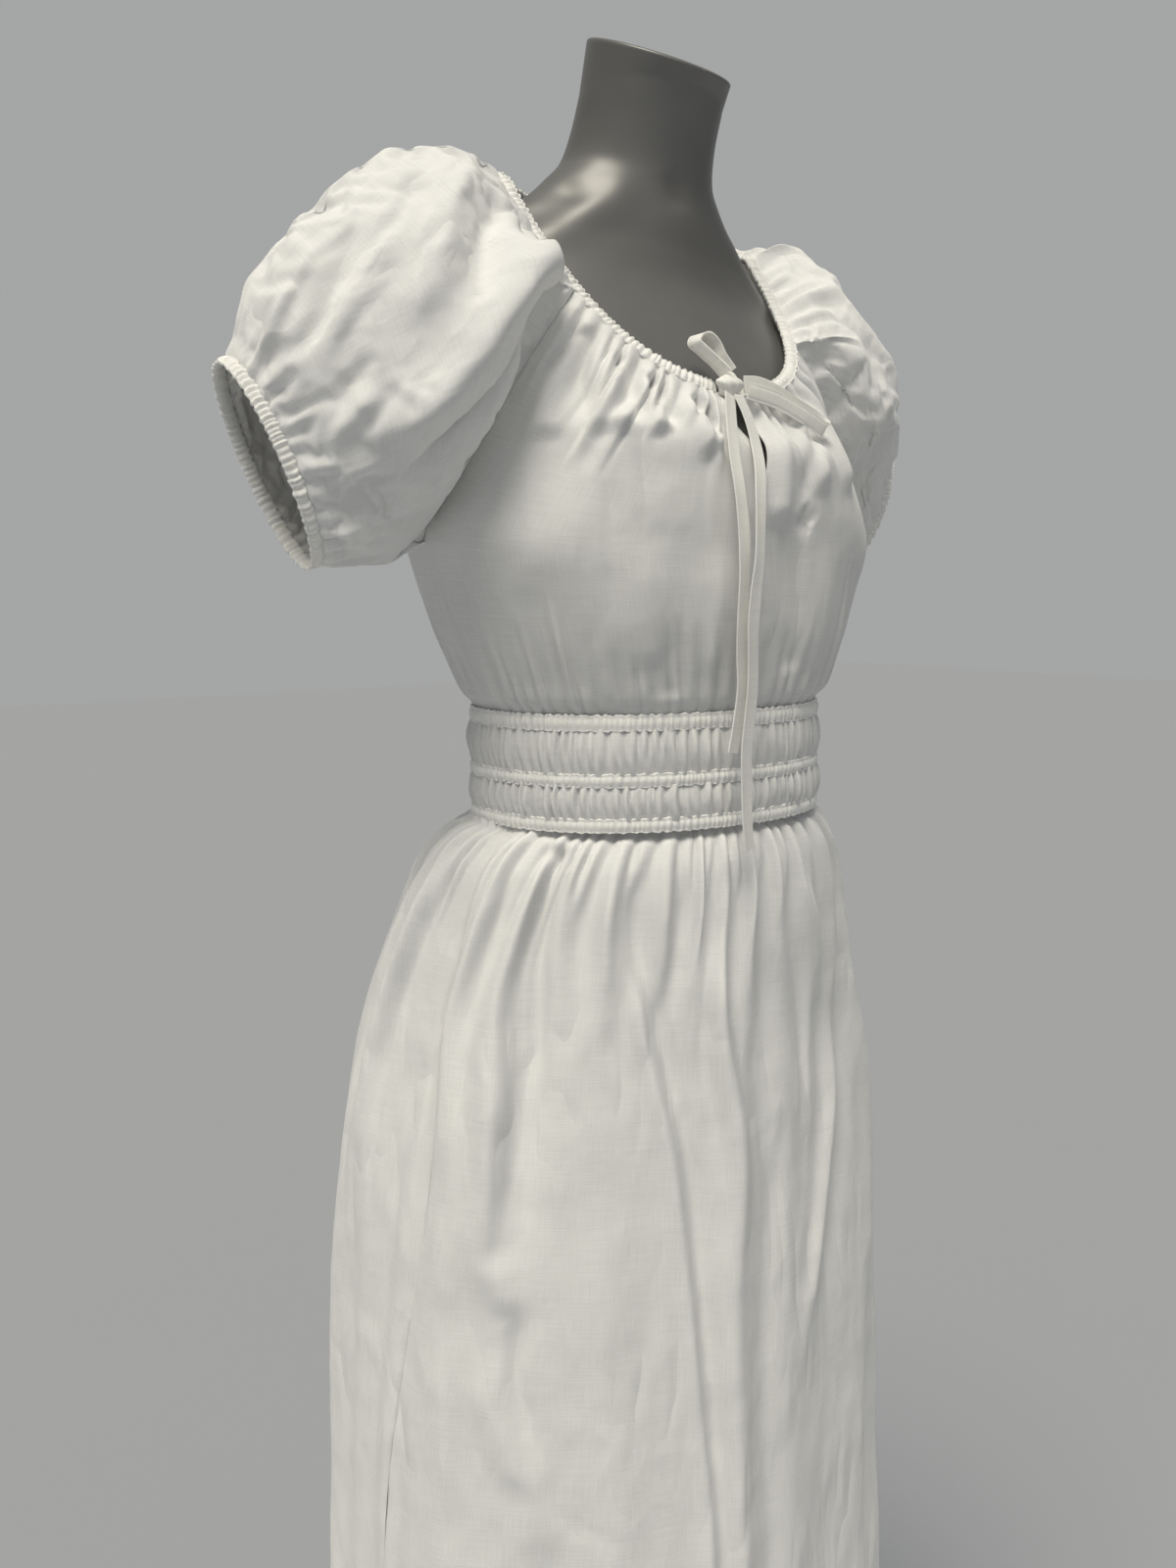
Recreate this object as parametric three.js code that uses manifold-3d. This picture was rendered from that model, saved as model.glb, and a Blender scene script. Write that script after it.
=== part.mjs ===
// A white cotton peasant dress on a limbless dress form with a pole and a round base.
// Millimetres, +Z up. The front of the dress faces -Y, and +X is the wearer's left.
// The origin is on the floor, at the middle of the base.
import * as THREE from "three";
import { mergeVertices } from "three/addons/utils/BufferGeometryUtils.js";
import Module from "manifold-3d";

// Driving dimensions
const CLOTH = 1.4; // wall of every cloth piece, measured towards the inside of the garment
const SEAM = 0.3; // gap between pieces that are sewn together
const SLEEVE_SEAM = 0.45; // gap along the raglan seams, where the two walls lean apart
const HEM_Z = 230;
const SKIRT_TOP_Z = 1005.7;
const SKIRT_LENGTH = SKIRT_TOP_Z - HEM_Z;
const NECK_CASING = { wide: 9, thick: 4, middleX: -8, halfGap: 4.5 };
const CUFF_CASING = { wide: 9, thick: 4 };
const CASING_PROFILE = [
  { up: 0, out: -0.5 },
  { up: 0, out: 0.3 },
  { up: 0.4, out: 0.5 },
  { up: 1, out: 0.2 },
  { up: 1, out: -0.5 },
];
const NECK_FALL = { middle: { out: 0.5, down: 0.86 }, side: { out: 1, down: 0.12 } };
const WAIST_CASINGS = [
  { name: "waist_casing_top", low: 1069.5, high: 1080 },
  { name: "waist_casing_middle", low: 1034.5, high: 1043.3 },
  { name: "waist_casing_low", low: 1006, high: 1015 },
];
const WAIST_CASING = { thick: 3.6, crown: 1, sunk: 0.4 };
const WAIST_PANELS = [
  { name: "waist_panel_upper", low: 1043.6, high: 1069.2, puff: 2.2 },
  { name: "waist_panel_lower", low: 1015.3, high: 1034.2, puff: 1.8 },
];
const WAIST_PANEL_SUNK = 1.4; // how far a panel's edges lie inside the casings' outside
const WAIST = { halfWidth: 124, front: 103, back: 97, power: 2.2 };
const TIE = { wide: 10, thick: 1.4 };
const KEYHOLE = {
  top: { x: -8, z: 1290, halfWidth: 3 },
  widest: { z: 1262, halfWidth: 7 },
  foot: { x: -1, z: 1231 },
  frontY: -140,
  cutDeep: 60,
};
const POLE_RADIUS = 13;
const BASE = { radius: 170, edge: 2, rim: 6, shoulder: { radius: 136, z: 10 }, crown: { radius: 40, z: 14 } };
const HUB = { radius: 30, shoulder: { radius: 28, z: 32 }, top: { radius: 21, z: 44 } };
const FORM_FOOT_Z = 750;

// How many gathers each edge has, and how deep they stand.
const GATHERS = {
  skirt: { count: 56, depth: 2.8, atSeam: 0.45, fullBelow: 35, fadeFrom: 40, fadeBelow: 170 },
  waistPanel: { count: 28, depth: 1.3, atSeam: 0.35 },
  frontNeck: { count: 16, depth: 2.6, fade: 0.42 },
  backNeck: { count: 10, depth: 2.2, fade: 0.3 },
  frontWaist: { count: 16, depth: 2.4, fade: 0.3 },
  backWaist: { count: 14, depth: 2.4, fade: 0.3 },
  sleeveNeck: { count: 6, depth: 3.6, fade: 0.5 },
  sleeveCuff: { count: 10, depth: 3, fade: 0.4 },
};
// Bodice gathers are shallow at the seams of the neck and waist, and end before the panel's sides.
const BODICE_GATHER = { atSeam: 0.3, fullWithin: 0.07, calmSide: 0.06, neckFrom: 0.02, waistTo: 0.95 };
// Down to these shares the walls turn from the neck casing's direction to their own.
const NECK_TURN_SHARE = { bodice: 0.2, sleeve: 0.12 };

// Sections of the dress form, from its foot to the top of its neck.
const FORM_SECTIONS = [
  { z: 750, halfWidth: 142, middleY: 14, front: 92, back: 112, power: 2 },
  { z: 800, halfWidth: 154, middleY: 15, front: 98, back: 124, power: 2 },
  { z: 860, halfWidth: 155, middleY: 14, front: 97, back: 125, power: 2 },
  { z: 930, halfWidth: 141, middleY: 9, front: 94, back: 114, power: 2 },
  { z: 1000, halfWidth: 117, middleY: 3, front: 92, back: 88, power: 2.1 },
  { z: 1045, halfWidth: 113, middleY: 0, front: 90, back: 86, power: 2.2 },
  { z: 1110, halfWidth: 119, middleY: 0, front: 95, back: 90, power: 2.2 },
  { z: 1165, halfWidth: 131, middleY: 2, front: 108, back: 96, power: 2.2 },
  { z: 1210, halfWidth: 138, middleY: 5, front: 115, back: 97, power: 2.1 },
  { z: 1250, halfWidth: 140, middleY: 8, front: 106, back: 93, power: 2 },
  { z: 1285, halfWidth: 143, middleY: 11, front: 94, back: 84, power: 1.95 },
  { z: 1320, halfWidth: 146, middleY: 13, front: 75, back: 71, power: 1.85 },
  { z: 1348, halfWidth: 130, middleY: 14, front: 61, back: 58, power: 1.7 },
  { z: 1370, halfWidth: 110, middleY: 14, front: 56, back: 49, power: 1.65 },
  { z: 1386, halfWidth: 94, middleY: 14, front: 55, back: 43, power: 1.65 },
  { z: 1398, halfWidth: 79, middleY: 14, front: 54, back: 40, power: 1.7 },
  { z: 1410, halfWidth: 67, middleY: 13, front: 52, back: 39, power: 1.8 },
  { z: 1424, halfWidth: 55, middleY: 10, front: 50, back: 40, power: 1.9 },
  { z: 1445, halfWidth: 48.5, middleY: 2, front: 48, back: 43, power: 2 },
  { z: 1468, halfWidth: 46.5, middleY: -8, front: 48, back: 46, power: 2 },
];
const NECK_TOP = { backZ: 1508, frontZ: 1474, halfWidth: 46, middleY: -17, front: 47, back: 46 };
const NECK_SIDE_Z = 1400; // the highest the neckline stands in front of the shoulders
// The wearer's right shoulder stands higher than the left one.
const SHOULDER_LEAN = { slope: 0.125, from: 1230, to: 1370 };

// Rows of the bodice from the neckline (down 0) to the waist (down 1). Each row is part of a
// superellipse about (0, middleY): it runs from the centre line to the angle of its reach.
const FRONT_ROWS = [
  { down: 0, halfWidth: 105, middleY: 10, depth: 106, centreZ: 1275.5, edgeZ: 1328, reach: 57, power: 2.2 },
  { down: 0.2, halfWidth: 127, middleY: 17, depth: 125, centreZ: 1245, edgeZ: 1289, reach: 66, power: 2.4 },
  { down: 0.4, halfWidth: 148, middleY: 19, depth: 141, centreZ: 1213, edgeZ: 1240, reach: 78, power: 2.5 },
  { down: 0.6, halfWidth: 165, middleY: 8, depth: 132, centreZ: 1174, edgeZ: 1188, reach: 90, power: 2.4 },
  { down: 0.8, halfWidth: 146, middleY: 3, depth: 118, centreZ: 1127, edgeZ: 1131, reach: 90, power: 2.3 },
  { down: 1, halfWidth: 124, middleY: 0, depth: 103, centreZ: 1080.3, edgeZ: 1080.3, reach: 90, power: 2.2 },
];
const BACK_ROWS = [
  { down: 0, halfWidth: 105, middleY: 10, depth: 56, centreZ: 1402, edgeZ: 1409, reach: 58, power: 2.2 },
  { down: 0.2, halfWidth: 143, middleY: 25, depth: 67, centreZ: 1333, edgeZ: 1348, reach: 66, power: 2.6 },
  { down: 0.4, halfWidth: 159, middleY: 29, depth: 82, centreZ: 1264, edgeZ: 1275, reach: 78, power: 2.5 },
  { down: 0.6, halfWidth: 165, middleY: 8, depth: 110, centreZ: 1194, edgeZ: 1188, reach: 90, power: 2.4 },
  { down: 0.8, halfWidth: 146, middleY: 3, depth: 107, centreZ: 1134, edgeZ: 1131, reach: 90, power: 2.3 },
  { down: 1, halfWidth: 124, middleY: 0, depth: 97, centreZ: 1080.3, edgeZ: 1080.3, reach: 90, power: 2.2 },
];
const UNDERARM_DOWN = 0.6;
// The side seam from the underarm to the waist, which both bodice panels share.
const BODICE_SIDE = [
  { down: 0.6, halfWidth: 165, middleY: 8, edgeZ: 1188 },
  { down: 0.8, halfWidth: 146, middleY: 3, edgeZ: 1131 },
  { down: 1, halfWidth: 124, middleY: 0, edgeZ: 1080.3 },
];

// How the sleeve leaves the bodice and comes to its cuff, by turn about the arm: 0 under the arm,
// 90 in front, 180 on top, 270 behind. Out is away from the body, front is -Y.
const SLEEVE_FLOW = {
  right: [
    { turn: 0, leaveOut: 70, leaveFront: 0, leaveUp: -50, reachOut: 70, reachFront: 0, reachUp: 25 },
    { turn: 90, leaveOut: 60, leaveFront: 175, leaveUp: 10, reachOut: 60, reachFront: -150, reachUp: 0 },
    { turn: 180, leaveOut: 145, leaveFront: 10, leaveUp: 150, reachOut: -20, reachFront: 0, reachUp: -230 },
    { turn: 270, leaveOut: 60, leaveFront: -150, leaveUp: 20, reachOut: 60, reachFront: 150, reachUp: 0 },
    { turn: 360, leaveOut: 70, leaveFront: 0, leaveUp: -50, reachOut: 70, reachFront: 0, reachUp: 25 },
  ],
  left: [
    { turn: 0, leaveOut: 30, leaveFront: 0, leaveUp: -45, reachOut: 35, reachFront: 0, reachUp: 10 },
    { turn: 90, leaveOut: 45, leaveFront: 140, leaveUp: 10, reachOut: 25, reachFront: -115, reachUp: -30 },
    { turn: 180, leaveOut: 130, leaveFront: 5, leaveUp: 160, reachOut: -20, reachFront: 0, reachUp: -180 },
    { turn: 270, leaveOut: 60, leaveFront: -140, leaveUp: 20, reachOut: 40, reachFront: 130, reachUp: -30 },
    { turn: 360, leaveOut: 30, leaveFront: 0, leaveUp: -45, reachOut: 35, reachFront: 0, reachUp: 10 },
  ],
};
// The oval cuff: its top and bottom points and how far it opens to the front and back.
const CUFFS = {
  right: { side: -1, top: { out: 290, z: 1288 }, foot: { out: 240, z: 1173 }, middleY: 0, halfOpen: 29 },
  left: { side: 1, top: { out: 226, z: 1276 }, foot: { out: 192, z: 1174 }, middleY: 12, halfOpen: 30 },
};
// Turns at which the sleeve's upper edge passes from the raglan seams to the neckline.
const SLEEVE_TURNS = { frontNeck: 128, backNeck: 236, easeOutside: 12, easeInside: 4 };
// The upper end of the line down the middle of a sleeve.
const SLEEVE_SPINE_TOP = { out: 152, y: 14, z: 1292 };

// Sections of the skirt's outside, from the waist to the hem.
const SKIRT_SECTIONS = [
  { below: 0, halfWidth: 125, depth: 100, middleY: 3 },
  { below: 26, halfWidth: 149, depth: 117, middleY: 13 },
  { below: 75, halfWidth: 168, depth: 134, middleY: 28 },
  { below: 135, halfWidth: 186, depth: 148, middleY: 39 },
  { below: 205, halfWidth: 200, depth: 160, middleY: 44 },
  { below: 315, halfWidth: 210, depth: 168, middleY: 46 },
  { below: 585, halfWidth: 220, depth: 176, middleY: 45 },
  { below: 776, halfWidth: 227, depth: 182, middleY: 44 },
];
// The long valleys of the skirt, by angle from the front: minus is the wearer's right. Each starts
// so far below the waist and drifts from its upper angle to its angle at the hem.
const SKIRT_FOLDS = [
  { upper: -161, hem: -158, width: 9, depth: 12, start: 40 },
  { upper: -139, hem: -141, width: 8, depth: 11, start: 90 },
  { upper: -117, hem: -115, width: 9, depth: 10, start: 30 },
  { upper: -94, hem: -100, width: 7, depth: 9, start: 110 },
  { upper: -72, hem: -80, width: 6, depth: 6, start: 60 },
  { upper: -49, hem: -42, width: 5, depth: 13, start: 10 },
  { upper: -25, hem: -9, width: 5, depth: 5, start: 30 },
  { upper: 4, hem: 2, width: 10, depth: 15, start: 70 },
  { upper: 39, hem: 46, width: 8, depth: 11, start: 40 },
  { upper: 66, hem: 70, width: 7, depth: 9, start: 90 },
  { upper: 90, hem: 94, width: 8, depth: 10, start: 40 },
  { upper: 114, hem: 110, width: 9, depth: 12, start: 80 },
  { upper: 137, hem: 139, width: 8, depth: 10, start: 30 },
  { upper: 160, hem: 158, width: 9, depth: 12, start: 100 },
  { upper: 181, hem: 184, width: 7, depth: 9, start: 50 },
];
const FOLD_GROWS = 160; // the length over which a valley reaches its depth
const SKIRT_EASE = 2; // the skirt stands this far outside its sections, between the valleys
// The angle of the skirt's two side seams, from the waist to the hem.
const SKIRT_SIDE = [
  { below: 0, angle: 76 },
  { below: 100, angle: 71 },
  { below: 230, angle: 68 },
  { below: 450, angle: 78 },
  { below: 776, angle: 84 },
];

// Routes of the tie's free ends, from the knot down, and of its two loops.
const TAIL_SHORT = [
  [-13, -105, 1274], [-16.5, -110, 1262], [-20, -116, 1248], [-23.5, -122.5, 1234], [-25, -128, 1219],
  [-24.5, -130.5, 1203], [-23.5, -131.5, 1186], [-23, -131, 1168], [-22.5, -129.5, 1150],
  [-21.5, -127.5, 1132], [-19.5, -125, 1114], [-17.5, -123.5, 1098], [-18, -122, 1084], [-20, -121, 1070],
  [-22, -120, 1056],
];
const TAIL_LONG = [
  [-6.8, -105.5, 1274], [-4, -111, 1261], [-4, -118, 1246], [-7.5, -126.5, 1230], [-11.5, -132, 1213],
  [-13.5, -134.5, 1194], [-14.5, -135, 1174], [-16, -133.5, 1154], [-16, -131.5, 1134], [-14, -129, 1114],
  [-12.5, -127, 1095], [-13, -125, 1076], [-14, -123.5, 1056], [-12.5, -122, 1036], [-11, -121, 1016],
  [-9.5, -120.5, 1004], [-7.5, -120, 993],
];
const LOOP_UP = [
  [-12, -100, 1287], [-17, -97, 1293], [-25, -94, 1300], [-30, -92, 1305], [-27, -91, 1309.5],
  [-21, -91.5, 1310], [-15.5, -93, 1305], [-12.5, -95.5, 1297], [-8, -99.5, 1288],
];
const LOOP_SIDE = [
  [1.2, -101.5, 1281.5], [12, -102.5, 1281.5], [25, -103, 1278], [42, -103, 1271], [58, -102.5, 1265],
  [67, -103, 1260], [65.5, -105.5, 1257], [54, -106.5, 1261.5], [40, -107, 1267], [22, -107, 1273],
  [1.6, -106, 1277],
];
const KNOT = { x: -9, y: -100.5, z: 1280, halfWidth: 8, halfDepth: 4.6, halfHeight: 6 };

const wasm = await Module();
wasm.setup();

// Small mathematics
const TAU = 2 * Math.PI;
const point = (x, y, z) => new THREE.Vector3(x, y, z);
const radians = THREE.MathUtils.degToRad;
const mix = THREE.MathUtils.lerp;
const fade = THREE.MathUtils.smoothstep;

function signedPower(value, power) {
  return Math.sign(value) * Math.abs(value) ** power;
}

// Every column of a table at a place between its rows, on a smooth curve through the rows.
function rowAt(table, key, at) {
  const last = table.length - 1;
  let i = 0;
  while (i < last - 1 && at > table[i + 1][key]) i += 1;
  const a = table[i];
  const b = table[i + 1];
  const before = table[Math.max(i - 1, 0)];
  const after = table[Math.min(i + 2, last)];
  const span = b[key] - a[key];
  const t = THREE.MathUtils.clamp((at - a[key]) / span, 0, 1);
  const row = {};
  for (const column of Object.keys(a)) {
    const slopeA = ((b[column] - before[column]) / (b[key] - before[key])) * span;
    const slopeB = ((after[column] - a[column]) / (after[key] - a[key])) * span;
    row[column] =
      a[column] * (1 + 2 * t) * (1 - t) ** 2 +
      b[column] * t * t * (3 - 2 * t) +
      slopeA * t * (1 - t) ** 2 -
      slopeB * t * t * (1 - t);
  }
  return row;
}

// The lean of the shoulders, which the form and all that lies on it share.
function leaned(p) {
  const { slope, from, to } = SHOULDER_LEAN;
  return p.setZ(p.z - slope * p.x * fade(p.z, from, to));
}

// A point of a superellipse about the Z axis. The angle is 0 at the front, 90 at the wearer's left.
function ovalPoint(angle, { halfWidth, front, back, power = 2, middleY = 0 }, z) {
  const across = signedPower(Math.sin(angle), 2 / power);
  const along = signedPower(Math.cos(angle), 2 / power);
  return point(halfWidth * across, middleY - along * (along > 0 ? front : back), z);
}

// Uneven waves along a gathered edge, from -1 to 1. Along runs from 0 to 1.
function gatherWave(along, count, seed) {
  const drift = 0.55 * Math.sin(TAU * (2 * along + seed)) + 0.35 * Math.sin(TAU * (5 * along + 2.3 * seed));
  return Math.cos(TAU * count * along + drift);
}

// Meshes of closed walls
function solidGeometry(vertices, triangles) {
  const geometry = new THREE.BufferGeometry();
  const coordinates = vertices.flatMap((p) => p.toArray());
  geometry.setAttribute("position", new THREE.Float32BufferAttribute(coordinates, 3));
  let volume = 0;
  for (const [a, b, c] of triangles) {
    volume += vertices[a].dot(vertices[b].clone().cross(vertices[c]));
  }
  const facingOut = volume < 0 ? triangles.map(([a, b, c]) => [a, c, b]) : triangles;
  geometry.setIndex(facingOut.flat());
  geometry.computeVertexNormals();
  return geometry;
}

// Triangles between two rows of points, which may have different numbers of steps.
function zipRows(upper, lower, emit) {
  const upperSteps = upper.length - 1;
  const lowerSteps = lower.length - 1;
  let i = 0;
  let j = 0;
  while (i < upperSteps || j < lowerSteps) {
    const stepUpper = j === lowerSteps || (i < upperSteps && (i + 1) / upperSteps <= (j + 1) / lowerSteps);
    if (stepUpper) {
      emit(upper[i], lower[j], upper[i + 1]);
      i += 1;
    } else {
      emit(upper[i], lower[j], lower[j + 1]);
      j += 1;
    }
  }
}

// A closed wall of cloth. place(across, down) gives an outer point, and inward(p, across, down) the
// unit direction to the inside. A row is { down, steps }. A ring joins its last step to its first.
function clothWall({ place, inward, rows, ring = false, thick = CLOTH }) {
  const vertices = [];
  const outer = [];
  const inner = [];
  for (const { down, steps } of rows) {
    const outerRow = [];
    const innerRow = [];
    for (let i = 0; i < steps + (ring ? 0 : 1); i += 1) {
      const p = place(i / steps, down);
      outerRow.push(vertices.push(p) - 1);
      innerRow.push(vertices.push(p.clone().addScaledVector(inward(p, i / steps, down), thick)) - 1);
    }
    if (ring) {
      outerRow.push(outerRow[0]);
      innerRow.push(innerRow[0]);
    }
    outer.push(outerRow);
    inner.push(innerRow);
  }
  const triangles = [];
  const band = (a, b, c, d) => triangles.push([a, b, c], [a, c, d]);
  for (let r = 0; r + 1 < rows.length; r += 1) {
    zipRows(outer[r], outer[r + 1], (a, b, c) => triangles.push([a, b, c]));
    zipRows(inner[r], inner[r + 1], (a, b, c) => triangles.push([a, c, b]));
    if (!ring) {
      const end = outer[r].length - 1;
      const nextEnd = outer[r + 1].length - 1;
      band(outer[r + 1][0], outer[r][0], inner[r][0], inner[r + 1][0]);
      band(outer[r][end], outer[r + 1][nextEnd], inner[r + 1][nextEnd], inner[r][end]);
    }
  }
  const foot = rows.length - 1;
  for (let i = 0; i + 1 < outer[0].length; i += 1) {
    band(outer[0][i], outer[0][i + 1], inner[0][i + 1], inner[0][i]);
  }
  for (let i = 0; i + 1 < outer[foot].length; i += 1) {
    band(outer[foot][i + 1], outer[foot][i], inner[foot][i], inner[foot][i + 1]);
  }
  return solidGeometry(vertices, triangles);
}

// A bar through sections of equally many points, closed into a ring or capped at its ends.
function sweep(sections, ring) {
  const size = sections[0].length;
  const vertices = sections.flat();
  const triangles = [];
  const count = sections.length;
  for (let s = 0; s < (ring ? count : count - 1); s += 1) {
    const here = s * size;
    const next = ((s + 1) % count) * size;
    for (let k = 0; k < size; k += 1) {
      const l = (k + 1) % size;
      triangles.push([here + k, next + k, next + l], [here + k, next + l, here + l]);
    }
  }
  if (!ring) {
    for (let k = 1; k + 1 < size; k += 1) {
      const end = (count - 1) * size;
      triangles.push([0, k, k + 1], [end, end + k + 1, end + k]);
    }
  }
  return solidGeometry(vertices, triangles);
}

function manifoldOf(geometry) {
  const bare = geometry.clone();
  bare.deleteAttribute("normal");
  bare.deleteAttribute("uv");
  const merged = mergeVertices(bare, 1e-4);
  return new wasm.Manifold(
    new wasm.Mesh({
      numProp: 3,
      vertProperties: merged.attributes.position.array,
      triVerts: new Uint32Array(merged.index.array),
    }),
  );
}

function cutAway(geometry, cutter) {
  const mesh = manifoldOf(geometry).subtract(manifoldOf(cutter)).getMesh();
  const cut = new THREE.BufferGeometry();
  cut.setAttribute("position", new THREE.Float32BufferAttribute(mesh.vertProperties, 3));
  cut.setIndex([...mesh.triVerts]);
  cut.computeVertexNormals();
  return cut;
}

// Directions to the inside of the garment
function towardsAxis(p, middleY = 10) {
  return point(-p.x, middleY - p.y, 0).normalize();
}

// Bodice
// A point of the front (facing -1) or back (facing 1) panel. Across runs from -1 to 1.
function bodicePoint(rows, facing, across, down) {
  const row = rowAt(rows, "down", down);
  if (down >= UNDERARM_DOWN) Object.assign(row, rowAt(BODICE_SIDE, "down", down));
  const edge = radians(Math.min(row.reach, 90));
  const angle = across * edge;
  const along = Math.cos(angle) ** (2 / row.power);
  const alongAtEdge = Math.max(Math.cos(edge), 0) ** (2 / row.power);
  const rise = (1 - along) / (1 - alongAtEdge);
  const x = row.halfWidth * signedPower(Math.sin(angle), 2 / row.power);
  return leaned(point(x, row.middleY + facing * row.depth * along, mix(row.centreZ, row.edgeZ, rise)));
}

function bodicePanel(rows, facing, neck, waist, gridRows) {
  const neckEdge = radians(rows[0].reach);
  const inward = (p, along, down) => {
    const fromMiddle = (2 * along - 1) * neckEdge;
    const { outwards } = necklineFrame(facing < 0 ? fromMiddle : Math.PI - fromMiddle);
    return outwards.negate().lerp(towardsAxis(p), fade(down, 0, NECK_TURN_SHARE.bodice)).normalize();
  };
  const place = (along, down) => {
    const across = 2 * along - 1;
    const p = bodicePoint(rows, facing, across, down);
    const { atSeam, fullWithin, calmSide, neckFrom, waistTo } = BODICE_GATHER;
    const nearNeck = 1 - fade(down, neckFrom, neck.fade);
    const nearWaist = fade(down, 1 - waist.fade, waistTo);
    const neckWave = gatherWave(along, neck.count, 0.2) * neck.depth * nearNeck;
    const waistWave = gatherWave(along, waist.count, 0.7) * waist.depth * nearWaist;
    const offSeam = mix(atSeam, 1, fade(Math.min(down, 1 - down), 0, fullWithin));
    const offSide = fade(1 - Math.abs(across), 0, calmSide);
    p.addScaledVector(inward(p, along, down), -(neckWave + waistWave) * offSide * offSeam);
    const onSideSeam = Math.abs(across) > 0.999 && down >= UNDERARM_DOWN;
    if (onSideSeam) p.y += facing * (SEAM / 2);
    return p;
  };
  return clothWall({ place, inward, rows: gridRows });
}

const FRONT_GRID = [
  [0, 48], [0.05, 48], [0.14, 48], [0.26, 28], [0.38, 28], [0.5, 28], [0.6, 28],
  [0.7, 28], [0.82, 28], [0.9, 48], [0.96, 48], [1, 48],
].map(([down, steps]) => ({ down, steps }));
const BACK_GRID = [
  [0, 32], [0.05, 32], [0.14, 32], [0.26, 24], [0.4, 24], [0.52, 24], [0.6, 24],
  [0.7, 24], [0.82, 24], [0.9, 42], [0.96, 42], [1, 42],
].map(([down, steps]) => ({ down, steps }));

function bodiceFront() {
  const panel = bodicePanel(FRONT_ROWS, -1, GATHERS.frontNeck, GATHERS.frontWaist, FRONT_GRID);
  return cutAway(panel, keyhole());
}

function bodiceBack() {
  return bodicePanel(BACK_ROWS, 1, GATHERS.backNeck, GATHERS.backWaist, BACK_GRID);
}

// The cutter of the slit below the knot, a drop that is widest in its upper half.
function keyhole() {
  const { top, widest, foot, frontY, cutDeep } = KEYHOLE;
  const middleX = (top.x + foot.x) / 2;
  const outline = new THREE.Shape();
  outline.moveTo(top.x - top.halfWidth, top.z);
  outline.quadraticCurveTo(middleX - widest.halfWidth, widest.z, foot.x, foot.z);
  outline.quadraticCurveTo(middleX + widest.halfWidth, widest.z, top.x + top.halfWidth, top.z);
  outline.closePath();
  const options = { depth: cutDeep, bevelEnabled: false, curveSegments: 5 };
  const cutter = new THREE.ExtrudeGeometry(outline, options);
  cutter.rotateX(Math.PI / 2);
  cutter.translate(0, frontY + cutDeep, 0);
  return cutter;
}

// Neckline: the line where the cloth comes out of the neck casing. Turn is 0 at the front.
const FRONT_EDGE = radians(FRONT_ROWS[0].reach);
const BACK_EDGE = Math.PI - radians(BACK_ROWS[0].reach);

function necklinePoint(turn) {
  const side = Math.sign(Math.sin(turn)) || 1;
  const angle = Math.acos(Math.cos(turn));
  if (angle <= FRONT_EDGE) return bodicePoint(FRONT_ROWS, -1, (side * angle) / FRONT_EDGE, 0);
  if (angle >= BACK_EDGE) {
    return bodicePoint(BACK_ROWS, 1, (side * (Math.PI - angle)) / (Math.PI - BACK_EDGE), 0);
  }
  const front = FRONT_ROWS[0];
  const back = BACK_ROWS[0];
  const along = signedPower(Math.cos(angle), 2 / front.power);
  const across = Math.sin(angle) ** (2 / front.power);
  const y = front.middleY - along * (along > 0 ? front.depth : back.depth);
  const slope = (front.edgeZ - front.centreZ) / (1 - Math.cos(FRONT_EDGE) ** (2 / front.power));
  const z = along > 0 ? front.centreZ + slope * (1 - along) : front.centreZ + slope;
  const backShare = fade(angle, Math.PI / 2, BACK_EDGE);
  const height = mix(Math.min(z, NECK_SIDE_Z), back.edgeZ, backShare);
  return leaned(point(side * front.halfWidth * across, y, height));
}

// The direction in which the cloth leaves the neck casing: down in front and behind, out at the sides.
function necklineFall(turn) {
  const sideways = Math.sin(turn) ** 2;
  const out = mix(NECK_FALL.middle.out, NECK_FALL.side.out, sideways);
  const down = mix(NECK_FALL.middle.down, NECK_FALL.side.down, sideways);
  return point(out * Math.sin(turn), -out * Math.cos(turn), -down).normalize();
}

// A casing band: sections of five points, rounded on the outside, a seam's gap above the cloth's edge.
function casingSection(edge, fall, outwards, { wide, thick }) {
  return CASING_PROFILE.map(({ up, out }) =>
    edge.clone().addScaledVector(fall, -(SEAM + up * wide)).addScaledVector(outwards, out * thick),
  );
}

// The cloth's directions at the neckline: along it, away from the casing, and out of the garment.
function necklineFrame(turn) {
  const ahead = necklinePoint(turn + 0.01).sub(necklinePoint(turn - 0.01)).normalize();
  const fall = necklineFall(turn);
  fall.addScaledVector(ahead, -fall.dot(ahead)).normalize();
  const outwards = fall.clone().cross(ahead).normalize();
  if (outwards.dot(point(Math.sin(turn), -Math.cos(turn), 0.6)) < 0) outwards.negate();
  return { fall, outwards };
}

function neckCasing() {
  const steps = 64;
  const { middleX, halfGap } = NECK_CASING;
  const start = (middleX + halfGap) / FRONT_ROWS[0].halfWidth;
  const end = TAU + (middleX - halfGap) / FRONT_ROWS[0].halfWidth;
  const sections = [];
  for (let i = 0; i <= steps; i += 1) {
    const turn = mix(start, end, i / steps);
    const { fall, outwards } = necklineFrame(turn);
    const middle = necklinePoint(turn).addScaledVector(outwards, -CLOTH / 2);
    sections.push(casingSection(middle, fall, outwards, NECK_CASING));
  }
  return sweep(sections, false);
}

// Sleeves
const SLEEVE_GRID = { downs: [0, 0.06, 0.15, 0.29, 0.45, 0.61, 0.77, 0.89, 0.96, 1], steps: 36 };

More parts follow.
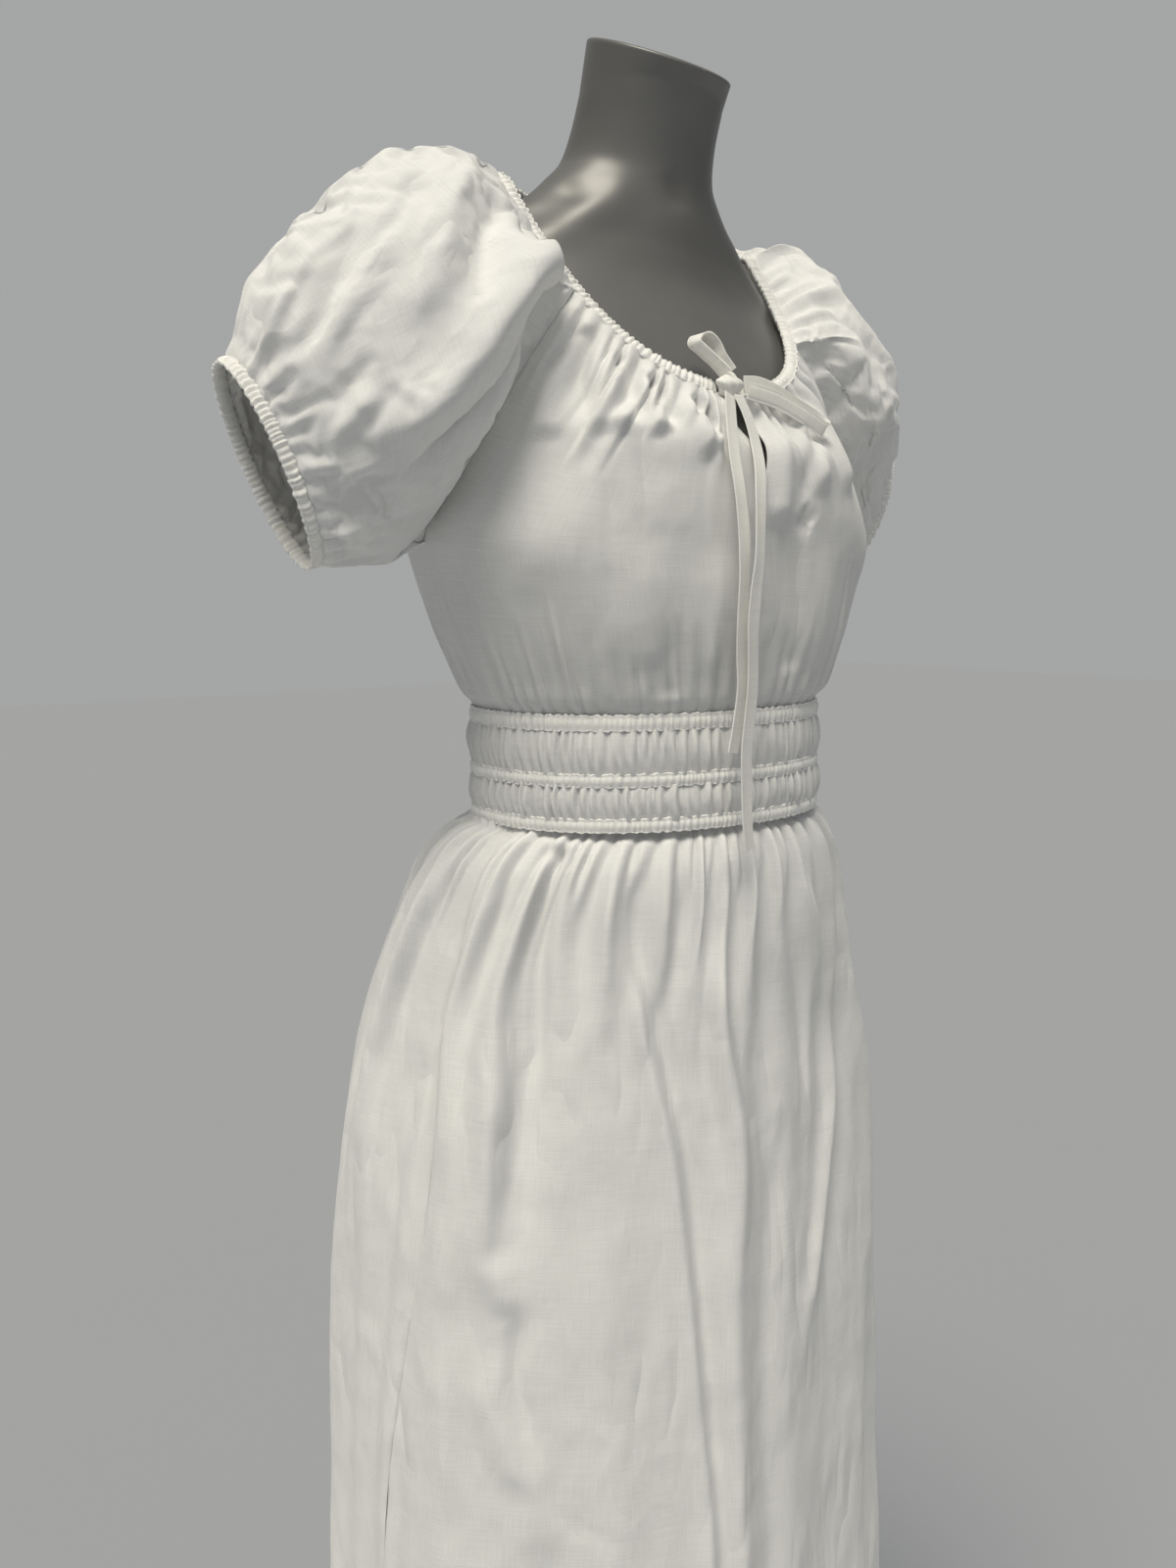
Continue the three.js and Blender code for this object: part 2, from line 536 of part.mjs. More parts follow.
// The upper edge of a sleeve: up the front raglan seam, along the neckline, down the back one.
function sleeveTop(turn, side) {
  const { frontNeck, backNeck } = SLEEVE_TURNS;
  let p;
  if (turn <= frontNeck) {
    p = bodicePoint(FRONT_ROWS, -1, side, UNDERARM_DOWN * (1 - turn / frontNeck));
  } else if (turn < backNeck) {
    p = necklinePoint(side * mix(FRONT_EDGE, BACK_EDGE, (turn - frontNeck) / (backNeck - frontNeck)));
  } else {
    p = bodicePoint(BACK_ROWS, 1, side, (UNDERARM_DOWN * (turn - backNeck)) / (360 - backNeck));
  }
  const onSeam = turn <= frontNeck || turn >= backNeck ? 1 : 0;
  return p.add(point(side * SLEEVE_SEAM * onSeam, 0, -SLEEVE_SEAM * fade(Math.cos(radians(turn)), 0.9, 1)));
}

function cuffFrame({ side, top, foot, middleY, halfOpen }) {
  const topPoint = point(side * top.out, middleY, top.z);
  const footPoint = point(side * foot.out, middleY, foot.z);
  const centre = topPoint.clone().add(footPoint).multiplyScalar(0.5);
  const up = topPoint.clone().sub(centre);
  const out = point(side * up.z, 0, -side * up.x).normalize();
  return { centre, up, front: point(0, -halfOpen, 0), out };
}

function cuffPoint(turn, frame) {
  const angle = radians(turn);
  return frame.centre
    .clone()
    .addScaledVector(frame.up, -Math.cos(angle))
    .addScaledVector(frame.front, Math.sin(angle));
}

function sleevePoint(turn, down, sideName) {
  const cuff = CUFFS[sideName];
  const frame = cuffFrame(cuff);
  const flow = rowAt(SLEEVE_FLOW[sideName], "turn", turn);
  const start = sleeveTop(turn, cuff.side);
  const end = cuffPoint(turn, frame);
  const leave = point(cuff.side * flow.leaveOut, -flow.leaveFront, flow.leaveUp);
  const reach = point(cuff.side * flow.reachOut, -flow.reachFront, flow.reachUp);
  return start
    .multiplyScalar((1 + 2 * down) * (1 - down) ** 2)
    .addScaledVector(leave, down * (1 - down) ** 2)
    .addScaledVector(end, down * down * (3 - 2 * down))
    .addScaledVector(reach, -down * down * (1 - down));
}

// The line down the middle of a sleeve, which its walls face.
function sleeveSpine(down, sideName) {
  const { side } = CUFFS[sideName];
  const { centre } = cuffFrame(CUFFS[sideName]);
  return point(side * SLEEVE_SPINE_TOP.out, SLEEVE_SPINE_TOP.y, SLEEVE_SPINE_TOP.z).lerp(centre, down);
}

function sleeve(sideName) {
  const { side } = CUFFS[sideName];
  const { sleeveNeck, sleeveCuff } = GATHERS;
  const { frontNeck, backNeck, easeOutside, easeInside } = SLEEVE_TURNS;
  const overNeck = (turn) => THREE.MathUtils.clamp((turn - frontNeck) / (backNeck - frontNeck), 0, 1);
  const onNeck = (turn) =>
    fade(turn, frontNeck - easeOutside, frontNeck + easeInside) *
    (1 - fade(turn, backNeck - easeInside, backNeck + easeOutside));
  const inward = (p, along, down) => {
    const turn = 360 * along;
    const toSpine = sleeveSpine(down, sideName).sub(p).normalize();
    const { outwards } = necklineFrame(side * mix(FRONT_EDGE, BACK_EDGE, overNeck(turn)));
    const share = onNeck(turn) * (1 - fade(down, 0, NECK_TURN_SHARE.sleeve));
    return toSpine.lerp(outwards.negate(), share).normalize();
  };
  const place = (along, down) => {
    const turn = 360 * along;
    const p = sleevePoint(turn, down, sideName);
    const neckFade = fade(down, 0, 0.1) * (1 - fade(down, 0.1, sleeveNeck.fade));
    const cuffFade = fade(down, 1 - sleeveCuff.fade, 0.9) * (1 - fade(down, 0.93, 1));
    const wave =
      gatherWave(overNeck(turn), sleeveNeck.count, 0.4) * sleeveNeck.depth * onNeck(turn) * neckFade +
      gatherWave(along, sleeveCuff.count, 0.1) * sleeveCuff.depth * cuffFade;
    return p.addScaledVector(inward(p, along, down), -wave);
  };
  const rows = SLEEVE_GRID.downs.map((down) => ({ down, steps: SLEEVE_GRID.steps }));
  return clothWall({ place, inward, rows, ring: true });
}

function cuffCasing(sideName) {
  const frame = cuffFrame(CUFFS[sideName]);
  const steps = 30;
  const sections = [];
  for (let i = 0; i < steps; i += 1) {
    const turn = (360 * i) / steps;
    const edge = cuffPoint(turn, frame);
    const outwards = edge.clone().sub(frame.centre).normalize();
    const middle = edge.addScaledVector(outwards, -CLOTH / 2);
    sections.push(casingSection(middle, frame.out.clone().negate(), outwards, CUFF_CASING));
  }
  return sweep(sections, true);
}

// Waist
function waistPoint(angle, z, grow) {
  const { halfWidth, front, back, power } = WAIST;
  return ovalPoint(angle, { halfWidth: halfWidth + grow, front: front + grow, back: back + grow, power }, z);
}

function waistCasing({ low, high }) {
  const steps = 48;
  const { crown, sunk, thick } = WAIST_CASING;
  const sections = [];
  for (let i = 0; i < steps; i += 1) {
    const angle = (TAU * i) / steps;
    sections.push([
      waistPoint(angle, low, sunk - thick),
      waistPoint(angle, low, 0),
      waistPoint(angle, (low + high) / 2, crown),
      waistPoint(angle, high, 0),
      waistPoint(angle, high, sunk - thick),
    ]);
  }
  return sweep(sections, true);
}

function waistPanel({ low, high, puff }) {
  const { count, depth, atSeam } = GATHERS.waistPanel;
  const place = (along, down) => {
    const bulge = Math.sin(Math.PI * down);
    const wave = gatherWave(along, count, low / 100) * depth * mix(atSeam, 1, bulge);
    return waistPoint(TAU * along, mix(high, low, down), puff * bulge + wave - WAIST_PANEL_SUNK);
  };
  const stepsPerGather = 3;
  const rows = [0, 0.5, 1].map((down) => ({ down, steps: stepsPerGather * count }));
  return clothWall({ place, inward: (p) => towardsAxis(p, 0), rows, ring: true });
}

// Skirt
const SKIRT_GRID = { gathered: [0, 0.04, 0.12], plain: [0.2, 0.31, 0.47, 0.65, 0.83, 1] };
const SKIRT_STEPS = { front: { gathered: 72, plain: 36 }, back: { gathered: 96, plain: 44 } };

function skirtPoint(angle, below) {
  const { halfWidth, depth, middleY } = rowAt(SKIRT_SECTIONS, "below", below);
  const p = ovalPoint(angle, { halfWidth, front: depth, back: depth, middleY }, SKIRT_TOP_Z - below);
  const gathers = GATHERS.skirt;
  const offSeam = mix(gathers.atSeam, 1, fade(below, 0, gathers.fullBelow));
  const nearWaist = 1 - fade(below, gathers.fadeFrom, gathers.fadeBelow);
  const gather = gatherWave(angle / TAU, gathers.count, 0.15) * gathers.depth * offSeam * nearWaist;
  let valley = 0;
  for (const fold of SKIRT_FOLDS) {
    const middle = mix(fold.upper, fold.hem, below / SKIRT_LENGTH);
    const away = THREE.MathUtils.euclideanModulo(THREE.MathUtils.radToDeg(angle) - middle + 180, 360) - 180;
    const grown = fade(below, fold.start, fold.start + FOLD_GROWS);
    valley += fold.depth * grown * Math.exp(-((away / fold.width) ** 2));
  }
  return p.addScaledVector(towardsAxis(p, middleY), valley - gather - SKIRT_EASE);
}

// Half of the skirt, from side seam to side seam. The front half is centred on angle 0.
function skirtPanel(middleAngle) {
  const facing = Math.cos(middleAngle);
  const place = (along, down) => {
    const below = down * SKIRT_LENGTH;
    const seam = radians(rowAt(SKIRT_SIDE, "below", below).angle);
    const reach = facing > 0 ? seam : Math.PI - seam;
    const trim = SEAM / 2 / rowAt(SKIRT_SECTIONS, "below", below).halfWidth;
    return skirtPoint(middleAngle + mix(trim - reach, reach - trim, along), below);
  };
  const inward = (p, along, down) => {
    const { middleY } = rowAt(SKIRT_SECTIONS, "below", down * SKIRT_LENGTH);
    return towardsAxis(p, middleY);
  };
  const steps = facing > 0 ? SKIRT_STEPS.front : SKIRT_STEPS.back;
  const rows = SKIRT_GRID.gathered.map((down) => ({ down, steps: steps.gathered }));
  rows.push(...SKIRT_GRID.plain.map((down) => ({ down, steps: steps.plain })));
  return clothWall({ place, inward, rows });
}

// Tie
// A flat ribbon along a route. Its width lies along the given direction, made square to the route.
function ribbon(route, across, steps) {
  const curve = new THREE.CatmullRomCurve3(route.map((p) => point(...p)));
  const sections = [];
  for (let i = 0; i <= steps; i += 1) {
    const t = i / steps;
    const ahead = curve.getTangent(t);
    const wide = across.clone().addScaledVector(ahead, -across.dot(ahead)).normalize();
    const thick = wide.clone().cross(ahead).normalize();
    wide.multiplyScalar(TIE.wide / 2);
    thick.multiplyScalar(TIE.thick / 2);
    const back = curve.getPoint(t).sub(thick);
    const front = curve.getPoint(t).add(thick);
    sections.push([
      back.clone().sub(wide),
      back.clone().add(wide),
      front.clone().add(wide),
      front.clone().sub(wide),
    ]);
  }
  return sweep(sections, false);
}

function knot() {
  const geometry = new THREE.SphereGeometry(1, 10, 7);
  geometry.scale(KNOT.halfWidth, KNOT.halfDepth, KNOT.halfHeight);
  geometry.translate(KNOT.x, KNOT.y, KNOT.z);
  return geometry;
}

// Dress form and stand
function formTorso() {
  const steps = 28;
  const sections = [];
  const ringAt = (row, heightAt) => {
    const ring = [];
    for (let i = 0; i < steps; i += 1) {
      const p = ovalPoint((TAU * i) / steps, row, 0);
      ring.push(leaned(p.setZ(heightAt(p))));
    }
    return ring;
  };
  for (const row of FORM_SECTIONS) sections.push(ringAt(row, () => row.z));
  const { backZ, frontZ, middleY, front, back } = NECK_TOP;
  sections.push(ringAt(NECK_TOP, (p) => mix(frontZ, backZ, (p.y - middleY + front) / (front + back))));
  return sweep(sections, false);
}

function standPole() {
  const low = HUB.top.z + SEAM;
  const high = FORM_FOOT_Z - SEAM;
  const geometry = new THREE.CylinderGeometry(POLE_RADIUS, POLE_RADIUS, high - low, 16);
  geometry.rotateX(Math.PI / 2);
  geometry.translate(0, 0, (high + low) / 2);
  return geometry;
}

// A solid turned about the pole, from a profile of radii and heights that starts and ends on the axis.
function turned(profile) {
  const geometry = new THREE.LatheGeometry(profile.map(([radius, z]) => new THREE.Vector2(radius, z)), 30);
  geometry.rotateX(Math.PI / 2);
  return geometry;
}

function standHub() {
  const foot = BASE.crown.z + SEAM;
  const { radius, shoulder, top } = HUB;
  return turned([[0, foot], [radius, foot], [shoulder.radius, shoulder.z], [top.radius, top.z], [0, top.z]]);
}

function standBase() {
  const { radius, edge, rim, shoulder, crown } = BASE;
  return turned([
    [0, 0],
    [radius - edge, 0],
    [radius, edge],
    [radius, rim],
    [shoulder.radius, shoulder.z],
    [crown.radius, crown.z],
    [0, crown.z],
  ]);
}

// Materials
const cotton = new THREE.MeshStandardMaterial({ color: 0xe9e8e3, roughness: 0.85, metalness: 0 });
const tape = new THREE.MeshStandardMaterial({ color: 0xefede6, roughness: 0.85, metalness: 0 });
const greyPlastic = new THREE.MeshStandardMaterial({ color: 0x5d5d5b, roughness: 0.35, metalness: 0.1 });
const steel = new THREE.MeshStandardMaterial({ color: 0x9b9b99, roughness: 0.35, metalness: 0.8 });

// The object
const dress = new THREE.Group();

function addPiece(name, geometry, material) {
  const mesh = new THREE.Mesh(geometry, material);
  mesh.name = name;
  dress.add(mesh);
}

addPiece("bodice_front", bodiceFront(), cotton);
addPiece("bodice_back", bodiceBack(), cotton);
addPiece("neck_casing", neckCasing(), cotton);
for (const sideName of Object.keys(CUFFS)) {
  addPiece(`sleeve_${sideName}`, sleeve(sideName), cotton);
  addPiece(`cuff_casing_${sideName}`, cuffCasing(sideName), cotton);
}
for (const casing of WAIST_CASINGS) addPiece(casing.name, waistCasing(casing), cotton);
for (const panel of WAIST_PANELS) addPiece(panel.name, waistPanel(panel), cotton);
addPiece("skirt_front", skirtPanel(0), cotton);
addPiece("skirt_back", skirtPanel(Math.PI), cotton);
addPiece("tie_knot", knot(), tape);
addPiece("tie_loop_up", ribbon(LOOP_UP, point(0.35, -1, 0.2), 14), tape);
addPiece("tie_loop_side", ribbon(LOOP_SIDE, point(0.3, -0.1, 1), 15), tape);
addPiece("tie_tail_short", ribbon(TAIL_SHORT, point(1, 0.25, 0), 16), tape);
addPiece("tie_tail_long", ribbon(TAIL_LONG, point(1, 0.25, 0), 18), tape);
addPiece("form_torso", formTorso(), greyPlastic);
addPiece("stand_pole", standPole(), steel);
addPiece("stand_hub", standHub(), steel);
addPiece("stand_base", standBase(), steel);

export default dress;
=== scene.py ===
"""A white cotton peasant dress on a grey limbless dress form, dressed for its picture.

Sizes are in millimetres in the frame of the solids: +Z is up, the front faces -Y and +X is the wearer's
left. Meshes are made in metres. Angles and turns are in degrees. Down runs from 0 at a piece's upper
seam to 1 at its lower one.
"""

import math

import bpy
import numpy as np
from mathutils import Matrix, Vector, noise


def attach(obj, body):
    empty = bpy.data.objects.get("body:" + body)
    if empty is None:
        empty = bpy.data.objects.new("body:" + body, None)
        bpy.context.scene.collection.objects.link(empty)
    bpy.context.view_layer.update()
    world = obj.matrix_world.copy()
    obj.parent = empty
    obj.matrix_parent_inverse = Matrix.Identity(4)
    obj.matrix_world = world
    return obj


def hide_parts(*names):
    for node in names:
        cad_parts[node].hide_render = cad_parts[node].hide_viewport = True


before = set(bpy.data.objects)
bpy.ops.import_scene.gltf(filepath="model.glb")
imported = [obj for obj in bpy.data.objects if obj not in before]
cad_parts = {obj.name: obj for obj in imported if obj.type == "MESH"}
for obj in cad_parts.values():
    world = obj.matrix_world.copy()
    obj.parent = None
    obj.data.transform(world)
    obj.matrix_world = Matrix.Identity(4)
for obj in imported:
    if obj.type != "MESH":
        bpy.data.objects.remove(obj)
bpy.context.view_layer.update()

MM = 0.001
BODY = "root"
TINY = 1e-9


def table(columns, *rows):
    """A table with named columns, a row for each section or fold."""
    values = np.array(rows, float)
    return {name: values[:, i] for i, name in enumerate(columns.split())}


# Camera and light
CAMERA = {"azimuth": -34.5, "distance": 999, "aside": -39.7, "height": 1162, "pitch": 8.0, "roll": -0.5,
          "view_height": 57}
WORLD_GREY = (0.375, 0.38, 0.38)
FLOOR_GREY = (0.338, 0.352, 0.385)
FLOOR_CLOUD = 0.985
# Half the floor's side and its height, in metres
FLOOR_HALF = 14.0
FLOOR_Z = -0.0005
KEY_TINT = (1.0, 0.945, 0.81)
KEY_TO_LIGHT = {"up": 0.87, "left": 0.13, "front": 0.44}
KEY_POWER = 2.65
DARKER_SIDES = 0.42
KEY_SPREAD = 26

# Cloth
CLOTH = 0.8
# How far the edge of a panel goes in behind a casing
TUCK = 5
SEAM_DIP = 0.9
SEAM_DIP_WIDE = 3.0
HEM_Z = 230
SKIRT_TOP_Z = 1005.7
SKIRT_LENGTH = SKIRT_TOP_Z - HEM_Z
SKIRT_HEM = {"deep": 26, "step": 0.7}
NECK_CASING = {"wide": 9, "thick": 4, "middle_x": -8, "half_gap": 4.5, "sink": 0.7, "lap": 0.6}
CUFF_CASING = {"wide": 9, "thick": 4, "sink": 0.7, "lap": 0.8}
WAIST_CASINGS = {"waist_casing_top": (1069.5, 1080), "waist_casing_middle": (1034.5, 1043.3),
                 "waist_casing_low": (1006, 1015)}
WAIST_CASING_THICK = 3.6
WAIST_PANELS = {"waist_panel_upper": (1043.6, 1069.2, 2.2), "waist_panel_lower": (1015.3, 1034.2, 1.8)}
# Section of a casing: share of its width up from its seam, and share of its thickness out
CASING_PROFILE = [
    (0, 0), (0.06, 0.7), (0.15, 0.45), (0.3, 0.95), (0.5, 1.0), (0.7, 0.95), (0.85, 0.45), (0.94, 0.7),
    (1, 0), (0.8, -0.55), (0.5, -0.65), (0.2, -0.55),
]
WAIST = {"half_width": 124, "front": 103, "back": 97, "power": 2.2}
TIE_WIDE = 10
KEYHOLE = {"top": (-8, 1290, 3), "widest": (1262, 8), "foot": (4, 1228)}

# Sections of the dress form, from its foot to the top of its neck
FORM_SECTIONS = table(
    "z half_width middle_y front back power",
    (750, 142, 14, 92, 112, 2), (800, 154, 15, 98, 124, 2), (860, 155, 14, 97, 125, 2),
    (930, 141, 9, 94, 114, 2), (1000, 117, 3, 92, 88, 2.1), (1045, 113, 0, 90, 86, 2.2),
    (1110, 119, 0, 95, 90, 2.2), (1165, 131, 2, 108, 96, 2.2), (1210, 138, 5, 115, 97, 2.1),
    (1250, 140, 8, 106, 93, 2), (1285, 143, 11, 94, 84, 1.95), (1320, 146, 13, 75, 71, 1.85),
    (1348, 130, 14, 61, 58, 1.7), (1370, 110, 14, 56, 49, 1.65), (1386, 94, 14, 55, 43, 1.65),
    (1398, 79, 14, 54, 40, 1.7), (1410, 67, 13, 52, 39, 1.8), (1424, 55, 10, 50, 40, 1.9),
    (1445, 48.5, 2, 48, 43, 2), (1468, 46.5, -8, 48, 46, 2),
)
NECK_TOP = {"back_z": 1508, "front_z": 1474, "half_width": 46, "middle_y": -17, "front": 47, "back": 46}
SHOULDER_LEAN = {"slope": 0.125, "low": 1230, "high": 1370}

# Rows of the bodice from the neckline to the waist
BODICE_COLUMNS = "down half_width middle_y depth centre_z edge_z reach power"
FRONT_ROWS = table(
    BODICE_COLUMNS,
    (0, 105, 10, 106, 1275.5, 1328, 57, 2.2), (0.2, 127, 17, 125, 1245, 1289, 66, 2.4),
    (0.4, 148, 19, 141, 1213, 1240, 78, 2.5), (0.6, 165, 8, 132, 1174, 1188, 90, 2.4),
    (0.8, 146, 3, 118, 1127, 1131, 90, 2.3), (1, 124, 0, 103, 1080.3, 1080.3, 90, 2.2),
)
BACK_ROWS = table(
    BODICE_COLUMNS,
    (0, 105, 10, 56, 1402, 1409, 58, 2.2), (0.2, 143, 25, 67, 1333, 1348, 66, 2.6),
    (0.4, 159, 29, 82, 1264, 1275, 78, 2.5), (0.6, 165, 8, 110, 1194, 1188, 90, 2.4),
    (0.8, 146, 3, 107, 1134, 1131, 90, 2.3), (1, 124, 0, 97, 1080.3, 1080.3, 90, 2.2),
)
# Both panels share their rows from the underarm down
BODICE_SIDE = {name: FRONT_ROWS[name][3:] for name in ("down", "half_width", "middle_y", "edge_z")}
UNDERARM_DOWN = 0.6
NECK_SIDE_Z = 1400
FRONT_EDGE = math.radians(57)
BACK_EDGE = math.pi - math.radians(58)

# Flow of the sleeves from the bodice to the cuff, by turn about the arm
FLOW_COLUMNS = "turn leave_out leave_front leave_up reach_out reach_front reach_up"
SLEEVES = {
    "right": {
        "side": -1, "top": (290, 1288), "foot": (240, 1173), "middle_y": 0, "half_open": 29,
        "flow": table(
            FLOW_COLUMNS, (0, 70, 0, -50, 70, 0, 25), (90, 60, 175, 10, 60, -150, 0),
            (180, 145, 10, 150, -20, 0, -230), (270, 60, -150, 20, 60, 150, 0), (360, 70, 0, -50, 70, 0, 25)),
    },
    "left": {
        "side": 1, "top": (226, 1276), "foot": (192, 1174), "middle_y": 12, "half_open": 30,
        "flow": table(
            FLOW_COLUMNS, (0, 30, 0, -45, 35, 0, 10), (90, 45, 140, 10, 25, -115, -30),
            (180, 130, 5, 160, -20, 0, -180), (270, 60, -140, 20, 40, 130, -30),
            (360, 30, 0, -45, 35, 0, 10)),
    },
}
SLEEVE_NECK_TURNS = (128, 236)

# Sections of the skirt and its long valleys, by angle from the front
SKIRT_SECTIONS = table(
    "below half_width depth middle_y",
    (0, 125, 100, 3), (26, 149, 117, 13), (75, 168, 134, 28), (135, 186, 148, 39), (205, 200, 160, 44),
    (315, 210, 168, 46), (585, 220, 176, 45), (776, 227, 182, 44),
)
SKIRT_EASE = 2
# Opening of the pocket in the right side seam: its middle below the waist, its half length, and its half gap
# in degrees
POCKET = {"below": 165, "half_long": 78, "gap": 0.55}
SKIRT_SIDE = table("below angle", (0, 76), (100, 71), (230, 68), (450, 78), (776, 84))

# Routes of the tie's free ends, from the knot down, and of its two loops
TAIL_SHORT = [
    (-13, -105, 1274), (-16.5, -110, 1262), (-20, -116, 1248), (-23.5, -122.5, 1234), (-25, -128, 1219),
    (-24.5, -130.5, 1203), (-23.5, -131.5, 1186), (-23, -131, 1168), (-22.5, -129.5, 1150),
    (-21.5, -127.5, 1132), (-19.5, -125, 1114), (-17.5, -123.5, 1098), (-18, -122, 1084), (-20, -121, 1070),
    (-22, -120, 1056),
]
TAIL_LONG = [
    (-6.8, -105.5, 1274), (-4, -111, 1261), (-4, -118, 1246), (-7.5, -126.5, 1230), (-11.5, -132, 1213),
    (-13.5, -134.5, 1194), (-14.5, -135, 1174), (-16, -133.5, 1154), (-16, -131.5, 1134), (-14, -129, 1114),
    (-12.5, -127, 1095), (-13, -125, 1076), (-14, -123.5, 1056), (-12.5, -122, 1036), (-11, -121, 1016),
    (-9.5, -120.5, 1004), (-7.5, -120, 993),
]
LOOP_UP = [
    (-12, -100, 1287), (-17, -97, 1293), (-25, -94, 1300), (-30, -92, 1305), (-27, -91, 1309.5),
    (-21, -91.5, 1310), (-15.5, -93, 1305), (-12.5, -95.5, 1297), (-8, -99.5, 1288),
]
LOOP_SIDE = [
    (1.2, -101.5, 1281.5), (12, -102.5, 1281.5), (25, -103, 1278), (42, -103, 1271), (58, -102.5, 1265),
    (67, -103, 1260), (65.5, -105.5, 1257), (54, -106.5, 1261.5), (40, -107, 1267), (22, -107, 1273),
    (1.6, -106, 1277),
]
# The knot, with the depth of the tape's turns over it as shares of its half sizes
KNOT = {"middle": (-9, -100.5, 1280), "half": (8, 4.6, 6), "full": 1.2, "turns": 0.10, "crossing": 0.06}

# Stand
POLE_RADIUS = 13
POLE_FOOT = 44.3
POLE_TOP = 749.7
POLE_PROFILE = [(0, POLE_FOOT), (POLE_RADIUS, POLE_FOOT), (POLE_RADIUS, POLE_TOP), (0, POLE_TOP)]
HUB_PROFILE = [(0, 14.3), (30, 14.3), (28, 32), (21, 44), (0, 44)]
BASE_PROFILE = [(0, 0), (168, 0), (170, 2), (170, 6), (136, 10), (40, 14), (0, 14)]


# Small mathematics
def fade(value, low, high):
    share = np.clip((value - low) / (high - low), 0, 1)
    return share * share * (3 - 2 * share)


def mix(a, b, share):
    return a + (b - a) * share


def signed_power(value, power):
    return np.sign(value) * np.abs(value) ** power


def unit(vectors):
    return vectors / np.maximum(np.linalg.norm(vectors, axis=-1, keepdims=True), TINY)


def point(x, y, z):
    return np.stack(np.broadcast_arrays(x, y, z), -1).astype(float)


def row_at(rows, key, at):
    """Every column of a table at places between its rows, on a smooth curve through the rows."""
    keys = rows[key]
    at = np.asarray(at, float)
    last = len(keys) - 1
    i = np.clip(np.searchsorted(keys, at) - 1, 0, last - 1)
    before = np.maximum(i - 1, 0)
    after = np.minimum(i + 2, last)
    span = keys[i + 1] - keys[i]
    t = np.clip((at - keys[i]) / span, 0, 1)
    found = {}
    for name, column in rows.items():
        a = column[i]
        b = column[i + 1]
        slope_a = (b - column[before]) / (keys[i + 1] - keys[before]) * span
        slope_b = (column[after] - a) / (keys[after] - keys[i]) * span
        ends = a * (1 + 2 * t) * (1 - t) ** 2 + b * t * t * (3 - 2 * t)
        found[name] = ends + slope_a * t * (1 - t) ** 2 - slope_b * t * t * (1 - t)
    return found


def leaned(points):
    """The lean of the shoulders, which the form and all that lies on it share."""
    lean = SHOULDER_LEAN["slope"] * points[..., 0]
    points[..., 2] -= lean * fade(points[..., 2], SHOULDER_LEAN["low"], SHOULDER_LEAN["high"])
    return points


def oval(angle, half_width, front, back, power, middle_y, z):
    across = signed_power(np.sin(angle), 2 / power)
    along = signed_power(np.cos(angle), 2 / power)
    return point(half_width * across, middle_y - along * np.where(along > 0, front, back), z)


def curve_through(points, steps):
    """A smooth curve through points, at even shares of its length."""
    points = np.array(points, float)
    padded = np.vstack([2 * points[0] - points[1], points, 2 * points[-1] - points[-2]])
    pieces = []
    t = np.linspace(0, 1, 16, endpoint=False)[:, None]
    for i in range(len(points) - 1):
        a, b, c, d = padded[i:i + 4]
        pieces.append(0.5 * (2 * b + (c - a) * t + (2 * a - 5 * b + 4 * c - d) * t ** 2
                             + (3 * b - a - 3 * c + d) * t ** 3))
    dense = np.vstack([*pieces, points[-1:]])
    length = np.concatenate([[0], np.cumsum(np.linalg.norm(np.diff(dense, axis=0), axis=1))])
    places = np.linspace(0, length[-1], steps)
    return np.stack([np.interp(places, length, dense[:, k]) for k in range(3)], -1)


def grid_normals(grid, ring, outside):
    """Unit normals of a grid of points, on the side that the directions in outside point to."""
    if ring:
        along = np.roll(grid, -1, axis=1) - np.roll(grid, 1, axis=1)
    else:
        along = np.gradient(grid, axis=1)
    down = np.gradient(grid, axis=0)
    found = unit(np.cross(along, down))
    if (found * outside).sum(-1).mean() < 0:
        found = -found
    return found


# Folds
GAPS = (0.55, 1.45)
VALLEY_ROUNDING = 0.02
# A ridge keeps its height for a share of its length, and neighbours blend between two shares of their gap
FULL_HEIGHT_SHARE = 0.3
RIDGE_BLEND = (0.1, 0.9)
PATH_STEPS = 33
LAID_PATH_STEPS = 41


def uneven_ridges(low, high, count, length, height, seed):
    """Ridges of a gathered edge: places between low and high, with uneven spacing, length and height."""
    draw = np.random.default_rng(seed)
    gaps = draw.uniform(*GAPS, count + 1)
    places = low + (high - low) * np.cumsum(gaps)[:-1] / gaps.sum()
    return {"at": places, "length": draw.uniform(*length, count), "height": draw.uniform(*height, count)}


def gather_field(at, reach, ridges, pinch=0.35, full=12, sharp=30):
    """Height of gathers. At is a place along the edge, and reach the distance from it. Crests are round
    and the valleys between them are sharp near the edge."""
    places = ridges["at"]
    left = np.clip(np.searchsorted(places, at) - 1, 0, len(places) - 2)
    gap = places[left + 1] - places[left]
    share = np.clip((at - places[left]) / gap, -0.5, 1.5)
    creased = np.sqrt(np.cos(np.pi * share) ** 2 + VALLEY_ROUNDING)
    rolling = 0.5 + 0.5 * np.cos(2 * np.pi * share)
    crest = mix(creased, rolling, fade(reach, 0, sharp))
    strengths = []
    for ridge in (left, left + 1):
        length = ridges["length"][ridge]
        strengths.append(ridges["height"][ridge] * (1 - fade(reach, FULL_HEIGHT_SHARE * length, length)))
    strength = mix(*strengths, fade(share, *RIDGE_BLEND))
    return strength * (crest - 0.5) * mix(pinch, 1, fade(reach, 0, full))


